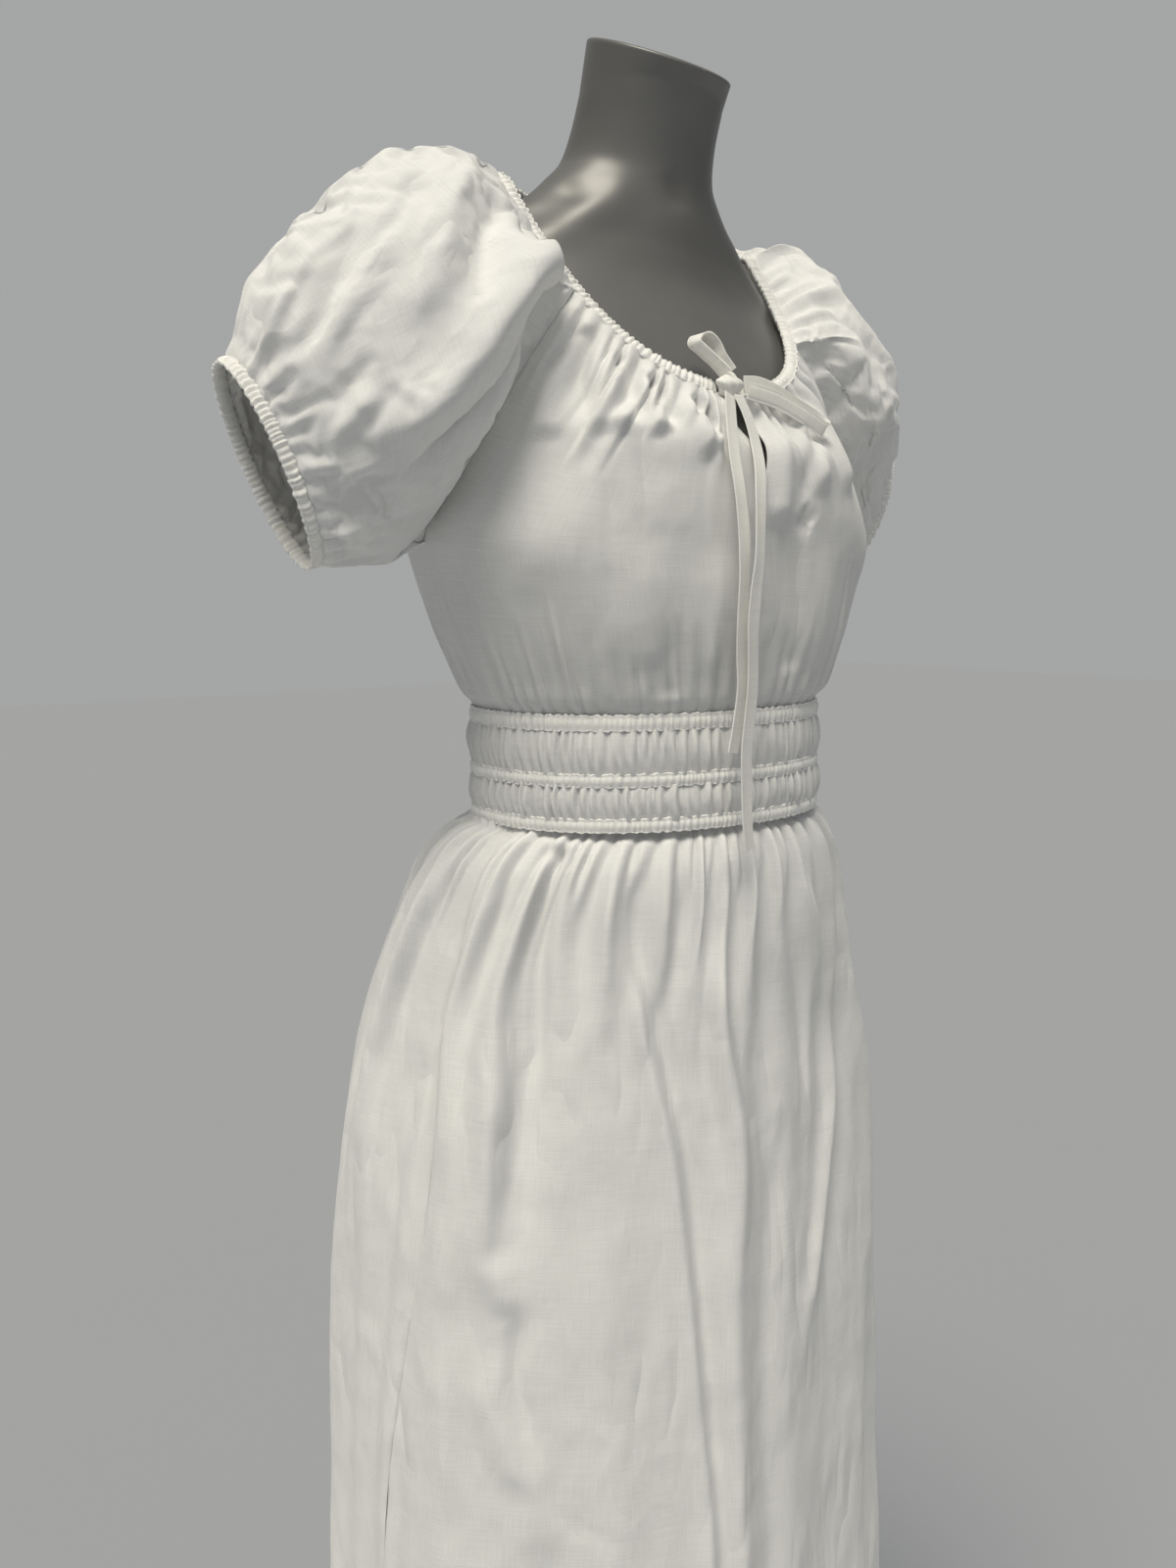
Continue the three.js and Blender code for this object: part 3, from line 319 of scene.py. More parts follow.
def on_surface(path, flat):
    """A given path, brought on to the nearest points of the cloth and smoothed."""
    line = curve_through(path, PATH_STEPS)
    apart = np.linalg.norm(line[:, None] - flat[None], axis=2)
    line = flat[apart.argmin(1)]
    for _ in range(3):
        line[1:-1] = 0.25 * line[:-2] + 0.5 * line[1:-1] + 0.25 * line[2:]
    return curve_through(line[::4], PATH_STEPS)


def stroke_field(points, strokes, laid=False):
    """Height of listed creases. A stroke is (wide, deep, taper in, taper out, path). Laid paths are
    on the cloth already."""
    flat = points.reshape(-1, 3)
    height = np.zeros(len(flat))
    for wide, deep, taper_in, taper_out, path in strokes:
        line = curve_through(path, LAID_PATH_STEPS) if laid else on_surface(path, flat)
        near = np.all((flat > line.min(0) - 3 * wide) & (flat < line.max(0) + 3 * wide), axis=1)
        start = line[:-1]
        run = line[1:] - start
        from_start = flat[near, None] - start[None]
        share = np.clip((from_start * run).sum(-1) / np.maximum((run * run).sum(-1), TINY), 0, 1)
        apart = np.linalg.norm(from_start - share[..., None] * run, axis=2)
        nearest = apart.argmin(1)
        pick = np.arange(len(nearest))
        t = (nearest + share[pick, nearest]) / (len(line) - 1)
        taper = fade(t, 0, max(taper_in, 1e-3)) * (1 - fade(t, 1 - max(taper_out, 1e-3), 1))
        height[near] += deep * taper * np.exp(-((apart[pick, nearest] / wide) ** 2))
    return height.reshape(points.shape[:-1])


def rumple_field(points, size, amount, seed):
    """Low uneven swells of cloth, of about the given size."""
    flat = points.reshape(-1, 3) / size + seed * 17.3
    heights = [noise.fractal(Vector(p), 0.9, 2.1, 3) for p in flat]
    return amount * np.array(heights).reshape(points.shape[:-1])


def seam_dip(distance):
    return -SEAM_DIP * np.exp(-((distance / SEAM_DIP_WIDE) ** 2))


# Meshes
SHARP_EDGE = 75
# How far a bar's end is drawn in to its middle before a small cap closes it
CAP_SHARE = 0.98


def signed_volume(vertices, faces):
    a, b, c, d = (vertices[faces[:, k]] for k in range(4))
    return (np.cross(a, b) * c + np.cross(a, c) * d).sum()


def mesh_piece(name, vertices, faces, uvs, material, node):
    """A piece of the object from arrays of points in millimetres, quads and their UV places in metres."""
    if signed_volume(vertices, faces) < 0:
        faces = faces[:, ::-1]
        uvs = uvs[:, ::-1]
    mesh = bpy.data.meshes.new(name)
    mesh.vertices.add(len(vertices))
    mesh.vertices.foreach_set("co", (np.asarray(vertices, float) * MM).ravel())
    mesh.loops.add(faces.size)
    mesh.loops.foreach_set("vertex_index", faces.ravel().astype(np.int32))
    mesh.polygons.add(len(faces))
    mesh.polygons.foreach_set("loop_start", np.arange(0, faces.size, 4, dtype=np.int32))
    mesh.update(calc_edges=True)
    layer = mesh.uv_layers.new(name="UVMap")
    layer.data.foreach_set("uv", np.asarray(uvs, float).ravel())
    mesh.polygons.foreach_set("use_smooth", np.ones(len(faces), bool))
    mesh.set_sharp_from_angle(angle=math.radians(SHARP_EDGE))
    mesh.materials.append(material)
    piece = bpy.data.objects.new(name, mesh)
    bpy.context.scene.collection.objects.link(piece)
    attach(piece, BODY)
    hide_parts(node)
    return piece


def grid_faces(rows, columns, ring):
    """Quads of a grid of points, and the row and column of each corner."""
    r, c = np.meshgrid(np.arange(rows - 1), np.arange(columns if ring else columns - 1), indexing="ij")
    corner_rows = np.stack([r, r, r + 1, r + 1], -1).reshape(-1, 4)
    corner_columns = np.stack([c, c + 1, c + 1, c], -1).reshape(-1, 4)
    faces = corner_rows * columns + corner_columns % columns
    return faces, corner_rows, corner_columns


def grid_uv(grid, ring):
    """UV places of a grid in metres, from the mean lengths along its rows and its columns."""
    around = np.concatenate([grid, grid[:, :1]], axis=1) if ring else grid
    across = np.linalg.norm(np.diff(around, axis=1), axis=-1).mean(0)
    along = np.linalg.norm(np.diff(grid, axis=0), axis=-1).mean(1)
    u = np.concatenate([[0], np.cumsum(across)]) * MM
    v = np.concatenate([[0], np.cumsum(along)]) * MM
    return u, v


def open_edges(faces, count):
    """Edges of quads that only one quad has, in the direction that the quad runs."""
    first = faces.ravel()
    second = np.roll(faces, -1, axis=1).ravel()
    lone = ~np.isin(first * count + second, second * count + first)
    return first[lone], second[lone]


def shell_piece(node, outer, normals, material, ring=False, slit=None):
    """A closed thin shell of cloth under a grid of outer points. A slit is (column, last row): the cloth
    is open between that column and the next one down to the row, and sewn shut below it."""
    rows, columns = outer.shape[:2]
    vertices = np.concatenate([outer.reshape(-1, 3), (outer - normals * CLOTH).reshape(-1, 3)])
    count = rows * columns
    faces, corner_rows, corner_columns = grid_faces(rows, columns, ring)
    u, v = grid_uv(outer, ring)
    uvs = np.stack([u[corner_columns], v[corner_rows]], -1)
    if slit:
        column, last_row = slit
        kept = corner_columns.min(1) != column
        faces = faces[kept]
        uvs = uvs[kept]
        welded = np.arange(count).reshape(rows, columns)
        welded[last_row:, column + 1] = welded[last_row:, column]
        faces = welded.ravel()[faces]
    start, end = open_edges(faces, count)
    rim = np.stack([end, start, start + count, end + count], -1)
    flat_uv = np.stack(np.broadcast_arrays(u[None, :columns], v[:, None]), -1).reshape(-1, 2)
    faces = np.concatenate([faces, faces[:, ::-1] + count, rim])
    uvs = np.concatenate([uvs, uvs[:, ::-1], flat_uv[rim % count]])
    used, faces = np.unique(faces, return_inverse=True)
    faces = faces.reshape(-1, 4)
    vertices = vertices[used]
    return mesh_piece(f"{node}_cloth", vertices, faces, uvs, material, node)


def tucked(outer, normals, top=0.0, foot=0.0, sink=1.6):
    """The grid with a row more at its top or foot, which goes in behind the casing there."""
    if top:
        outer = np.concatenate([outer[:1] - normals[:1] * sink + (0, 0, top), outer])
        normals = np.concatenate([normals[:1], normals])
    if foot:
        outer = np.concatenate([outer, outer[-1:] - normals[-1:] * sink - (0, 0, foot)])
        normals = np.concatenate([normals, normals[-1:]])
    return outer, normals


def sweep_piece(name, sections, material, ring, node):
    """A bar through sections of equally many points, a ring or closed at its ends by small caps."""
    if not ring:
        ends = [mix(end, end.mean(1, keepdims=True), CAP_SHARE) for end in (sections[:1], sections[-1:])]
        sections = np.concatenate([ends[0], sections, ends[1]])
    turned = np.swapaxes(sections, 0, 1)
    around = turned.shape[0]
    closed = np.concatenate([turned, turned[:1]])
    u, v = grid_uv(closed, ring)
    columns = turned.shape[1]
    _, corner_rows, corner_columns = grid_faces(around + 1, columns, ring)
    faces = (corner_rows % around) * columns + corner_columns % columns
    uvs = np.stack([u[corner_columns], v[corner_rows]], -1)
    vertices = turned.reshape(-1, 3)
    if not ring:
        for column, flip in ((0, 1), (columns - 1, -1)):
            loop = (np.arange(around) * columns + column)[::flip]
            half = around // 2
            k = np.arange(half - 1)
            cap = np.stack([loop[k], loop[k + 1], loop[around - 2 - k], loop[around - 1 - k]], -1)
            faces = np.concatenate([faces, cap])
            uvs = np.concatenate([uvs, np.zeros((len(cap), 4, 2))])
    return mesh_piece(name, vertices, faces, uvs, material, node)


# Settling
SETTLING = {
    "quality": 6, "mass": 0.1, "air_damping": 2.0, "tension_stiffness": 20, "compression_stiffness": 20,
    "shear_stiffness": 12, "bending_stiffness": 0.35, "tension_damping": 8, "compression_damping": 8,
    "shear_damping": 8, "bending_damping": 0.5, "shrink_min": -0.05, "vertex_group_mass": "pin",
    "use_pressure": True, "uniform_pressure_force": 0.9,
}
SETTLING_FRAMES = 24
FARTHEST_MOVE = 14


def laid_cloth(grid, rest, pinned):
    """A tube of simulated cloth as it is laid, which is larger at rest and held at its pinned points."""
    mesh = bpy.data.meshes.new("settling")
    faces = grid_faces(*grid.shape[:2], True)[0]
    mesh.from_pydata((grid.reshape(-1, 3) * MM).tolist(), [], faces.tolist())
    cloth_piece = bpy.data.objects.new("settling", mesh)
    bpy.context.scene.collection.objects.link(cloth_piece)
    pins = cloth_piece.vertex_groups.new(name="pin")
    pins.add(np.flatnonzero(pinned).tolist(), 1.0, "REPLACE")
    cloth_piece.shape_key_add(name="laid")
    larger = cloth_piece.shape_key_add(name="rest")
    larger.data.foreach_set("co", (rest * MM).ravel())
    modifier = cloth_piece.modifiers.new("cloth", "CLOTH")
    modifier.settings.rest_shape_key = larger
    for name, value in SETTLING.items():
        setattr(modifier.settings, name, value)
    modifier.settings.effector_weights.gravity = 0.0
    modifier.collision_settings.use_collision = False
    modifier.point_cache.frame_start = 1
    modifier.point_cache.frame_end = SETTLING_FRAMES
    return cloth_piece, mesh


def settled(grid, rest, pinned):
    """The grid of a tube of cloth after it has buckled between its pinned ends into wrinkles of its own.
    No point moves by more than the farthest move."""
    cloth_piece, mesh = laid_cloth(grid, rest, pinned)
    scene = bpy.context.scene
    for step in range(1, SETTLING_FRAMES + 1):
        scene.frame_set(step)
    shaped = cloth_piece.evaluated_get(bpy.context.evaluated_depsgraph_get()).to_mesh()
    found = np.empty(len(shaped.vertices) * 3)
    shaped.vertices.foreach_get("co", found)
    bpy.data.objects.remove(cloth_piece)
    bpy.data.meshes.remove(mesh)
    scene.frame_set(1)
    move = found.reshape(grid.shape) / MM - grid
    far = np.linalg.norm(move, axis=-1, keepdims=True)
    return grid + move * np.minimum(1, FARTHEST_MOVE / np.maximum(far, TINY))


def finer(grid):
    """A tube's grid with a point more between every two, on smooth curves through them."""
    for axis in (0, 1):
        line = np.moveaxis(grid, axis, 0)
        if axis == 1:
            here = line
            after = np.roll(line, -1, 0)
            before = np.roll(line, 1, 0)
            beyond = np.roll(line, -2, 0)
        else:
            here = line[:-1]
            after = line[1:]
            before = np.concatenate([line[:1], line[:-2]])
            beyond = np.concatenate([line[2:], line[-1:]])
        between = (9 * (here + after) - before - beyond) / 16
        woven = np.empty((len(line) + len(between), *line.shape[1:]))
        woven[0::2] = line
        woven[1::2] = between
        grid = np.moveaxis(woven, 0, axis)
    return grid


# Materials
WHITE = {"pale": (0.87, 0.865, 0.845), "shade": (0.79, 0.79, 0.775), "sheen": 0.15}
TAPE_WHITE = {"pale": (0.87, 0.86, 0.825), "shade": (0.79, 0.785, 0.755), "sheen": 0.1}
# Painted shade on the thin cloth over the form: its grey, and the heights in metres over which it fades out,
# from full below the lower one to none at the upper one
PAINTED_SHADE_GREY = (0.86, 0.863, 0.87)
PAINTED_SHADE_HEIGHTS = (1.16, 1.29)
# Threads of the weave in a metre of cloth, across and along them
WARP = (1500, 45, 1)
WEFT = (35, 1300, 1)
THREAD_HEIGHT = 0.0003
# Wrinkles and facets in a metre, across and along them
WRINKLES = (40, 40, 13)
FACETS = (48, 48, 15)
FACET_BEND = {"in_a_metre": 30, "by": 0.03}
FACET_SHARE = 0.16
CRISPNESS = 0.8
PLASTIC = {"low": (0.160, 0.160, 0.157), "high": (0.176, 0.176, 0.172), "places": (0.3, 0.7)}
STEEL = {"low": (0.42, 0.42, 0.415), "high": (0.58, 0.58, 0.57)}


def new_material(name):
    material = bpy.data.materials.new(name)
    material.use_nodes = True
    return material, material.node_tree, material.node_tree.nodes["Principled BSDF"]


def set_inputs(tree, node, inputs):
    """Inputs of a node, each a value or an output of another node to join to it."""
    for key, value in inputs.items():
        if isinstance(value, bpy.types.NodeSocket):
            tree.links.new(value, node.inputs[key])
        else:
            node.inputs[key].default_value = value


def add_node(tree, kind, inputs, **settings):
    """The outputs of a new node."""
    node = tree.nodes.new(f"ShaderNode{kind}")
    for name, value in settings.items():
        setattr(node, name, value)
    set_inputs(tree, node, inputs)
    return node.outputs


def coordinates(tree, kind):
    return add_node(tree, "TexCoord", {})[kind]


def worked(tree, operation, *values):
    return add_node(tree, "Math", dict(enumerate(values)), operation=operation)[0]


def share_between(tree, value, low, high):
    return add_node(tree, "MapRange", {"Value": value, "From Min": low, "From Max": high})["Result"]


def turned_by(tree, source, lean):
    return add_node(tree, "Mapping", {"Vector": source, "Rotation": (0, math.radians(lean), 0)})["Vector"]


def stretched(tree, source, stretch):
    return add_node(tree, "Mapping", {"Vector": source, "Scale": stretch})["Vector"]


def noise_along(tree, source, stretch, detail, lean=0.0):
    """A noise texture stretched over its source coordinates, which may first lean to a side."""
    if lean:
        source = turned_by(tree, source, lean)
    places = stretched(tree, source, stretch)
    return add_node(tree, "TexNoise", {"Vector": places, "Scale": 1.0, "Detail": detail})["Fac"]


def ramp(tree, share, low, high, places=(0, 1)):
    """A colour that goes from low to high while the share goes from one place to the other."""
    node = tree.nodes.new("ShaderNodeValToRGB")
    for element, place, colour in zip(node.color_ramp.elements, places, (low, high)):
        element.position = place
        element.color = (*colour, 1)
    tree.links.new(share, node.inputs["Fac"])
    return node.outputs["Color"]


def bump(tree, height, strength, distance, under=None):
    """A normal that shows heights, over the normal of another bump if there is one."""
    inputs = {"Height": height, "Strength": strength, "Distance": distance}
    if under is not None:
        inputs["Normal"] = under
    return add_node(tree, "Bump", inputs)["Normal"]


def painted_shade_tone(tree, tone):
    """Painted shade on one layer of thin cloth over the dark form: the tone is greyed below the gathers of
    the neck, standing in for the dark form seen through the cloth and the shade under the bust.
    """
    height = add_node(tree, "SeparateXYZ", {"Vector": coordinates(tree, "Object")})["Z"]
    grey = ramp(tree, share_between(tree, height, *PAINTED_SHADE_HEIGHTS), PAINTED_SHADE_GREY, (1, 1, 1))
    inputs = {"Factor": 1.0, "A": tone, "B": grey}
    return add_node(tree, "Mix", inputs, data_type="RGBA", blend_type="MULTIPLY")["Result"]


def crumpled(tree, places, height, lean, under):
    """A bump of long facets with crisp ridges between them, over another bump."""
    turned = turned_by(tree, places, lean)
    inputs = {"Vector": turned, "Scale": FACET_BEND["in_a_metre"], "Detail": 0.0}
    bent = add_node(tree, "TexNoise", inputs)["Color"]
    inputs = {0: bent, 1: (FACET_BEND["by"],) * 3, 2: turned}
    shifted = add_node(tree, "VectorMath", inputs, operation="MULTIPLY_ADD")["Vector"]
    facets = add_node(tree, "TexVoronoi", {"Vector": stretched(tree, shifted, FACETS), "Scale": 1.0})
    return bump(tree, facets["Distance"], CRISPNESS, height, under)


def wrinkled(tree, height, lean):
    """A bump of sharp uneven wrinkles, which come and go over the cloth."""
    places = coordinates(tree, "Object")
    fold = noise_along(tree, places, WRINKLES, 1.0, lean)
    crease = worked(tree, "ABSOLUTE", worked(tree, "SUBTRACT", fold, 0.5))
    cover = noise_along(tree, places, (11, 11, 11), 0.0)
    strength = worked(tree, "MULTIPLY", crease, share_between(tree, cover, 0.40, 0.62))
    folded = bump(tree, strength, CRISPNESS, height)
    return crumpled(tree, places, FACET_SHARE * height, lean, folded)


def cotton_material(name, look, wrinkles, with_painted_shade=False, lean=0.0, light_through=0.0016):
    """Plain woven cotton: faint uneven threads both ways, small sharp wrinkles and a soft matte sheen."""
    material, tree, shader = new_material(name)
    places = coordinates(tree, "UV")
    threads = worked(tree, "ADD", noise_along(tree, places, WARP, 1.0), noise_along(tree, places, WEFT, 1.0))
    tone = ramp(tree, worked(tree, "MULTIPLY", threads, 0.5), look["shade"], look["pale"], (0.36, 0.62))
    # Painted shade below the neck gathers, where one layer of cloth lies on the dark form
    if with_painted_shade:
        tone = painted_shade_tone(tree, tone)
    set_inputs(tree, shader, {
        "Base Color": tone,
        "Normal": bump(tree, threads, 0.25, THREAD_HEIGHT, wrinkled(tree, wrinkles, lean)),
        "Roughness": 0.82, "Specular IOR Level": 0.25, "Sheen Weight": look["sheen"], "Sheen Roughness": 0.5,
        "Subsurface Weight": 0.85, "Subsurface Radius": (1.0, 0.97, 0.9), "Subsurface Scale": light_through,
    })
    return material


def plastic_material():
    """Smooth dark grey moulded plastic with a soft gloss."""
    material, tree, shader = new_material("form_grey")
    places = coordinates(tree, "Object")
    peel = noise_along(tree, places, (700, 700, 700), 1.0)
    set_inputs(tree, shader, {
        "Base Color": ramp(tree, noise_along(tree, places, (28, 28, 28), 3.0), **PLASTIC),
        "Normal": bump(tree, peel, 0.08, 0.0002),
        "Roughness": 0.42, "Metallic": 0.3,
    })
    return material


def steel_material():
    """Satin metal with a fine turned grain."""
    material, tree, shader = new_material("stand_steel")
    grain = noise_along(tree, coordinates(tree, "Object"), (30, 30, 900), 3.0)
    set_inputs(tree, shader, {"Base Color": ramp(tree, grain, **STEEL), "Metallic": 1.0, "Roughness": 0.34})
    return material


cotton = cotton_material("cotton_white", WHITE, 0.007)
# Cotton of the bodice and waist panels, with painted shade below the neck gathers
over_form_painted_shade = cotton_material("cotton_over_form", WHITE, 0.005, with_painted_shade=True)
puffed = {}
for sleeve_side, sleeve_lean in (("right", -46), ("left", 46)):
    puffed[sleeve_side] = cotton_material(
        f"cotton_puffed_{sleeve_side}", WHITE, 0.011, lean=sleeve_lean, light_through=0.0022)
tape = cotton_material("tape_white", TAPE_WHITE, 0.002)
form_grey = plastic_material()
stand_steel = steel_material()


# Stage
def picture_right():
    """The level direction to the picture's right, seen from the camera."""
    azimuth = math.radians(CAMERA["azimuth"])
    return Vector((math.cos(azimuth), math.sin(azimuth), 0))


def add_camera():
    pitch = math.radians(CAMERA["pitch"])
    roll = math.radians(CAMERA["roll"])
    up = Vector((0, 0, 1))
    right = picture_right()
    level = up.cross(right)
    place = right * CAMERA["aside"] - level * CAMERA["distance"] + up * CAMERA["height"]
    forward = level * math.cos(pitch) - up * math.sin(pitch)
    upright = up * math.cos(pitch) + level * math.sin(pitch)
    rolled_right = right * math.cos(roll) + upright * math.sin(roll)
    rolled_upright = upright * math.cos(roll) - right * math.sin(roll)
    data = bpy.data.cameras.new("camera")
    data.sensor_fit = "VERTICAL"
    data.sensor_height = 36
    data.lens = data.sensor_height / 2 / math.tan(math.radians(CAMERA["view_height"] / 2))
    data.clip_start = 0.05
    camera = bpy.data.objects.new("camera", data)
    turn = Matrix((rolled_right, rolled_upright, -forward)).transposed().to_4x4()
    camera.matrix_world = Matrix.Translation(place * MM) @ turn
    bpy.context.scene.collection.objects.link(camera)
    bpy.context.scene.camera = camera


def add_key_light():
    """One broad soft light from above and in front, a little to the picture's left."""
    up = Vector((0, 0, 1))
    right = picture_right()
    front = right.cross(up)
    to_light = front * KEY_TO_LIGHT["front"] - right * KEY_TO_LIGHT["left"] + up * KEY_TO_LIGHT["up"]
    data = bpy.data.lights.new("key", "SUN")
    data.energy = KEY_POWER
    data.angle = math.radians(KEY_SPREAD)
    data.color = KEY_TINT
    light = bpy.data.objects.new("key", data)
    light.rotation_euler = (-to_light).to_track_quat("-Z", "Y").to_euler()
    light.location = to_light * 4
    bpy.context.scene.collection.objects.link(light)


def add_floor():
    material, tree, shader = new_material("floor_pale")
    cloud = noise_along(tree, coordinates(tree, "Object"), (1.5, 1.5, 1.5), 2.0)
    clouded = [FLOOR_CLOUD * value for value in FLOOR_GREY]
    set_inputs(tree, shader, {"Base Color": ramp(tree, cloud, clouded, FLOOR_GREY), "Roughness": 0.9})
    mesh = bpy.data.meshes.new("floor")
    corners = [(x * FLOOR_HALF, y * FLOOR_HALF, 0) for x, y in ((-1, -1), (1, -1), (1, 1), (-1, 1))]
    mesh.from_pydata(corners, [], [(0, 1, 2, 3)])
    mesh.materials.append(material)
    floor = bpy.data.objects.new("floor", mesh)
    floor.location.z = FLOOR_Z
    bpy.context.scene.collection.objects.link(floor)


def add_world():
    """An even grey room whose side walls are darker."""
    world = bpy.data.worlds.new("studio")
    world.use_nodes = True
    tree = world.node_tree
    inputs = {0: coordinates(tree, "Generated"), 1: picture_right()}
    sideways = add_node(tree, "VectorMath", inputs, operation="DOT_PRODUCT")["Value"]
    darker = [DARKER_SIDES * value for value in WORLD_GREY]
    walls = ramp(tree, worked(tree, "ABSOLUTE", sideways), WORLD_GREY, darker, (0.5, 0.8))
    set_inputs(tree, tree.nodes["Background"], {"Color": walls, "Strength": 1.0})
    bpy.context.scene.world = world


add_camera()
add_world()
add_floor()
add_key_light()
bpy.context.scene.view_settings.view_transform = "Standard"


# Tie
TIE_THICK = 1.0
STITCH_DIP = 0.22
# Places over the tape's half width, and the place of the stitching
TAPE_PLACES = [-1, -0.86, -0.8, -0.74, -0.4, 0, 0.4, 0.74, 0.8, 0.86, 1]
STITCH_AT = 0.8
TWIST = 0.22


def ribbon_piece(name, route, across, cup, steps=90):
    """A flat tape along a route, with a low cup over its width and stitched edges."""
    line = curve_through(route, steps)
    ahead = unit(np.gradient(line, axis=0))
    across = np.broadcast_to(np.array(across, float), line.shape)
    side = unit(across - (across * ahead).sum(-1, keepdims=True) * ahead)
    face = np.cross(side, ahead)
    draw = np.random.default_rng(len(name) * 7)
    twist = np.convolve(draw.normal(0, 1, steps + 30), np.hanning(31) / 15, "valid")[:steps] * TWIST
    turned = side * np.cos(twist)[:, None] + face * np.sin(twist)[:, None]
    face = np.cross(turned, ahead)
    front = [(w, TIE_THICK / 2 - cup * w * w - STITCH_DIP * (abs(w) == STITCH_AT)) for w in TAPE_PLACES]
    back = [(w, -TIE_THICK / 2 - cup * w * w) for w in reversed(TAPE_PLACES)]
    sections = [line + turned * (w * TIE_WIDE / 2) + face * d for w, d in [*front, *back]]
    return sweep_piece(name, np.stack(sections, 1), tape, False, f"tie_{name}"), line


def add_tie():
    for name, route in (("tail_short", TAIL_SHORT), ("tail_long", TAIL_LONG)):
        piece, line = ribbon_piece(name, route, (1, 0.25, 0), cup=0.35, steps=140)
    loops = (("loop_up", LOOP_UP, (0.35, -1, 0.2)), ("loop_side", LOOP_SIDE, (0.3, -0.1, 1)))
    for name, route, across in loops:
        piece, line = ribbon_piece(name, route, across, cup=0.2)


def add_knot():
    """The knot: a rounded lump with tape turns wound over it."""
    turns = np.linspace(0, 2 * np.pi, 48, endpoint=False)
    rings = np.linspace(0.02, np.pi - 0.02, 30)
    middle = np.array(KNOT["middle"], float)
    half = np.array(KNOT["half"], float)
    angle, ring = np.meshgrid(turns, rings)
    lay = point(np.sin(ring) * np.cos(angle), np.sin(ring) * np.sin(angle), np.cos(ring))
    wrap = KNOT["turns"] * np.cos(5 * ring + 1.1 * np.sin(angle))
    wrap += KNOT["crossing"] * np.cos(9 * (lay[..., 0] + 0.7 * lay[..., 2]))
    grid = middle + lay * half * (KNOT["full"] + wrap)[..., None]
    sweep_piece("knot", grid, tape, False, "tie_knot")


add_tie()
add_knot()


# Dress form and stand
COLLARBONES = [
    (12, 2.4, 0.25, 0.3, [(-24, -36, 1420), (-50, -34, 1400), (-82, -28, 1384), (-112, -14, 1366)]),
    (12, 2.4, 0.25, 0.3, [(24, -36, 1414), (50, -34, 1390), (82, -28, 1364), (112, -14, 1338)]),
    (11, -2.6, 0.4, 0.4, [(-2, -44, 1424), (0, -44, 1408), (1, -44, 1392)]),
    (13, -2.2, 0.3, 0.3, [(-60, -20, 1412), (-86, -12, 1398), (-108, -2, 1384)]),
    (13, -2.2, 0.3, 0.3, [(60, -20, 1397), (86, -12, 1376), (108, -2, 1356)]),
]


FORM_COLUMNS = 112
# Lowest, highest and count of the form's lines, closer at the shoulders
FORM_HEIGHTS = ((750, 1330, 44), (1336, 1468, 50))
# Rounding of the neck's cut edge: share of the way to its middle, and rise
NECK_ROUNDING = ((0.012, 1.2), (0.035, 1.8))


def add_form():
    angle = np.linspace(0, 2 * np.pi, FORM_COLUMNS, endpoint=False)
    heights = np.concatenate([np.linspace(*span) for span in FORM_HEIGHTS])
    row = row_at(FORM_SECTIONS, "z", heights)
    rows = {name: value[:, None] for name, value in row.items()}
    grid = oval(angle[None], rows["half_width"], rows["front"], rows["back"], rows["power"], rows["middle_y"],
                heights[:, None])
    top = NECK_TOP
    rim = oval(angle, top["half_width"], top["front"], top["back"], 2, top["middle_y"], 0.0)
    share = (rim[:, 1] - top["middle_y"] + top["front"]) / (top["front"] + top["back"])
    rim[:, 2] = mix(top["front_z"], top["back_z"], share)
    rise = np.linspace(0, 1, 14)[1:, None, None]
    neck = mix(grid[-1][None], rim[None], rise)
    rim_middle = rim.mean(0)
    edge = [mix(rim, rim_middle, inwards) + (0, 0, up) for inwards, up in NECK_ROUNDING]
    lid_middle = rim_middle + (0, 0, NECK_ROUNDING[-1][1])
    lid = [mix(edge[-1], lid_middle, share) for share in (0.1, 0.4, 0.8)]
    foot_middle = grid[0].mean(0)
    foot = [mix(grid[0], foot_middle, share) for share in (0.8, 0.4, 0.04)]
    grid = leaned(np.concatenate([np.array(foot), grid, neck, np.array(edge), np.array(lid)]))
    outside = grid - point(0, 14, grid[..., 2])
    normals = grid_normals(grid, True, outside)
    grid = grid + normals * stroke_field(grid, COLLARBONES)[..., None]
    sweep_piece("form", grid, form_grey, False, "form_torso")


def turned_piece(name, profile, node, bevel=1.2):
    """A turned part, with its corners rounded a little."""
    profile = np.array(profile, float)
    soft = [profile[0]]
    for before, corner, after in zip(profile, profile[1:], profile[2:]):
        soft.append(corner + unit(before - corner) * bevel)
        soft.append(corner + (unit(before - corner) + unit(after - corner)) * bevel * 0.3)
        soft.append(corner + unit(after - corner) * bevel)
    soft.append(profile[-1])
    soft = np.array(soft)
    soft[:, 0] = np.maximum(soft[:, 0], 0.4)
    angle = np.linspace(0, 2 * np.pi, 96, endpoint=False)
    radius = soft[:, :1]
    grid = point(radius * np.sin(angle), radius * np.cos(angle), soft[:, 1:])
    sweep_piece(name, grid, stand_steel, False, node)


add_form()
turned_piece("base", BASE_PROFILE, "stand_base")
turned_piece("hub", HUB_PROFILE, "stand_hub")
turned_piece("pole", POLE_PROFILE, "stand_pole")


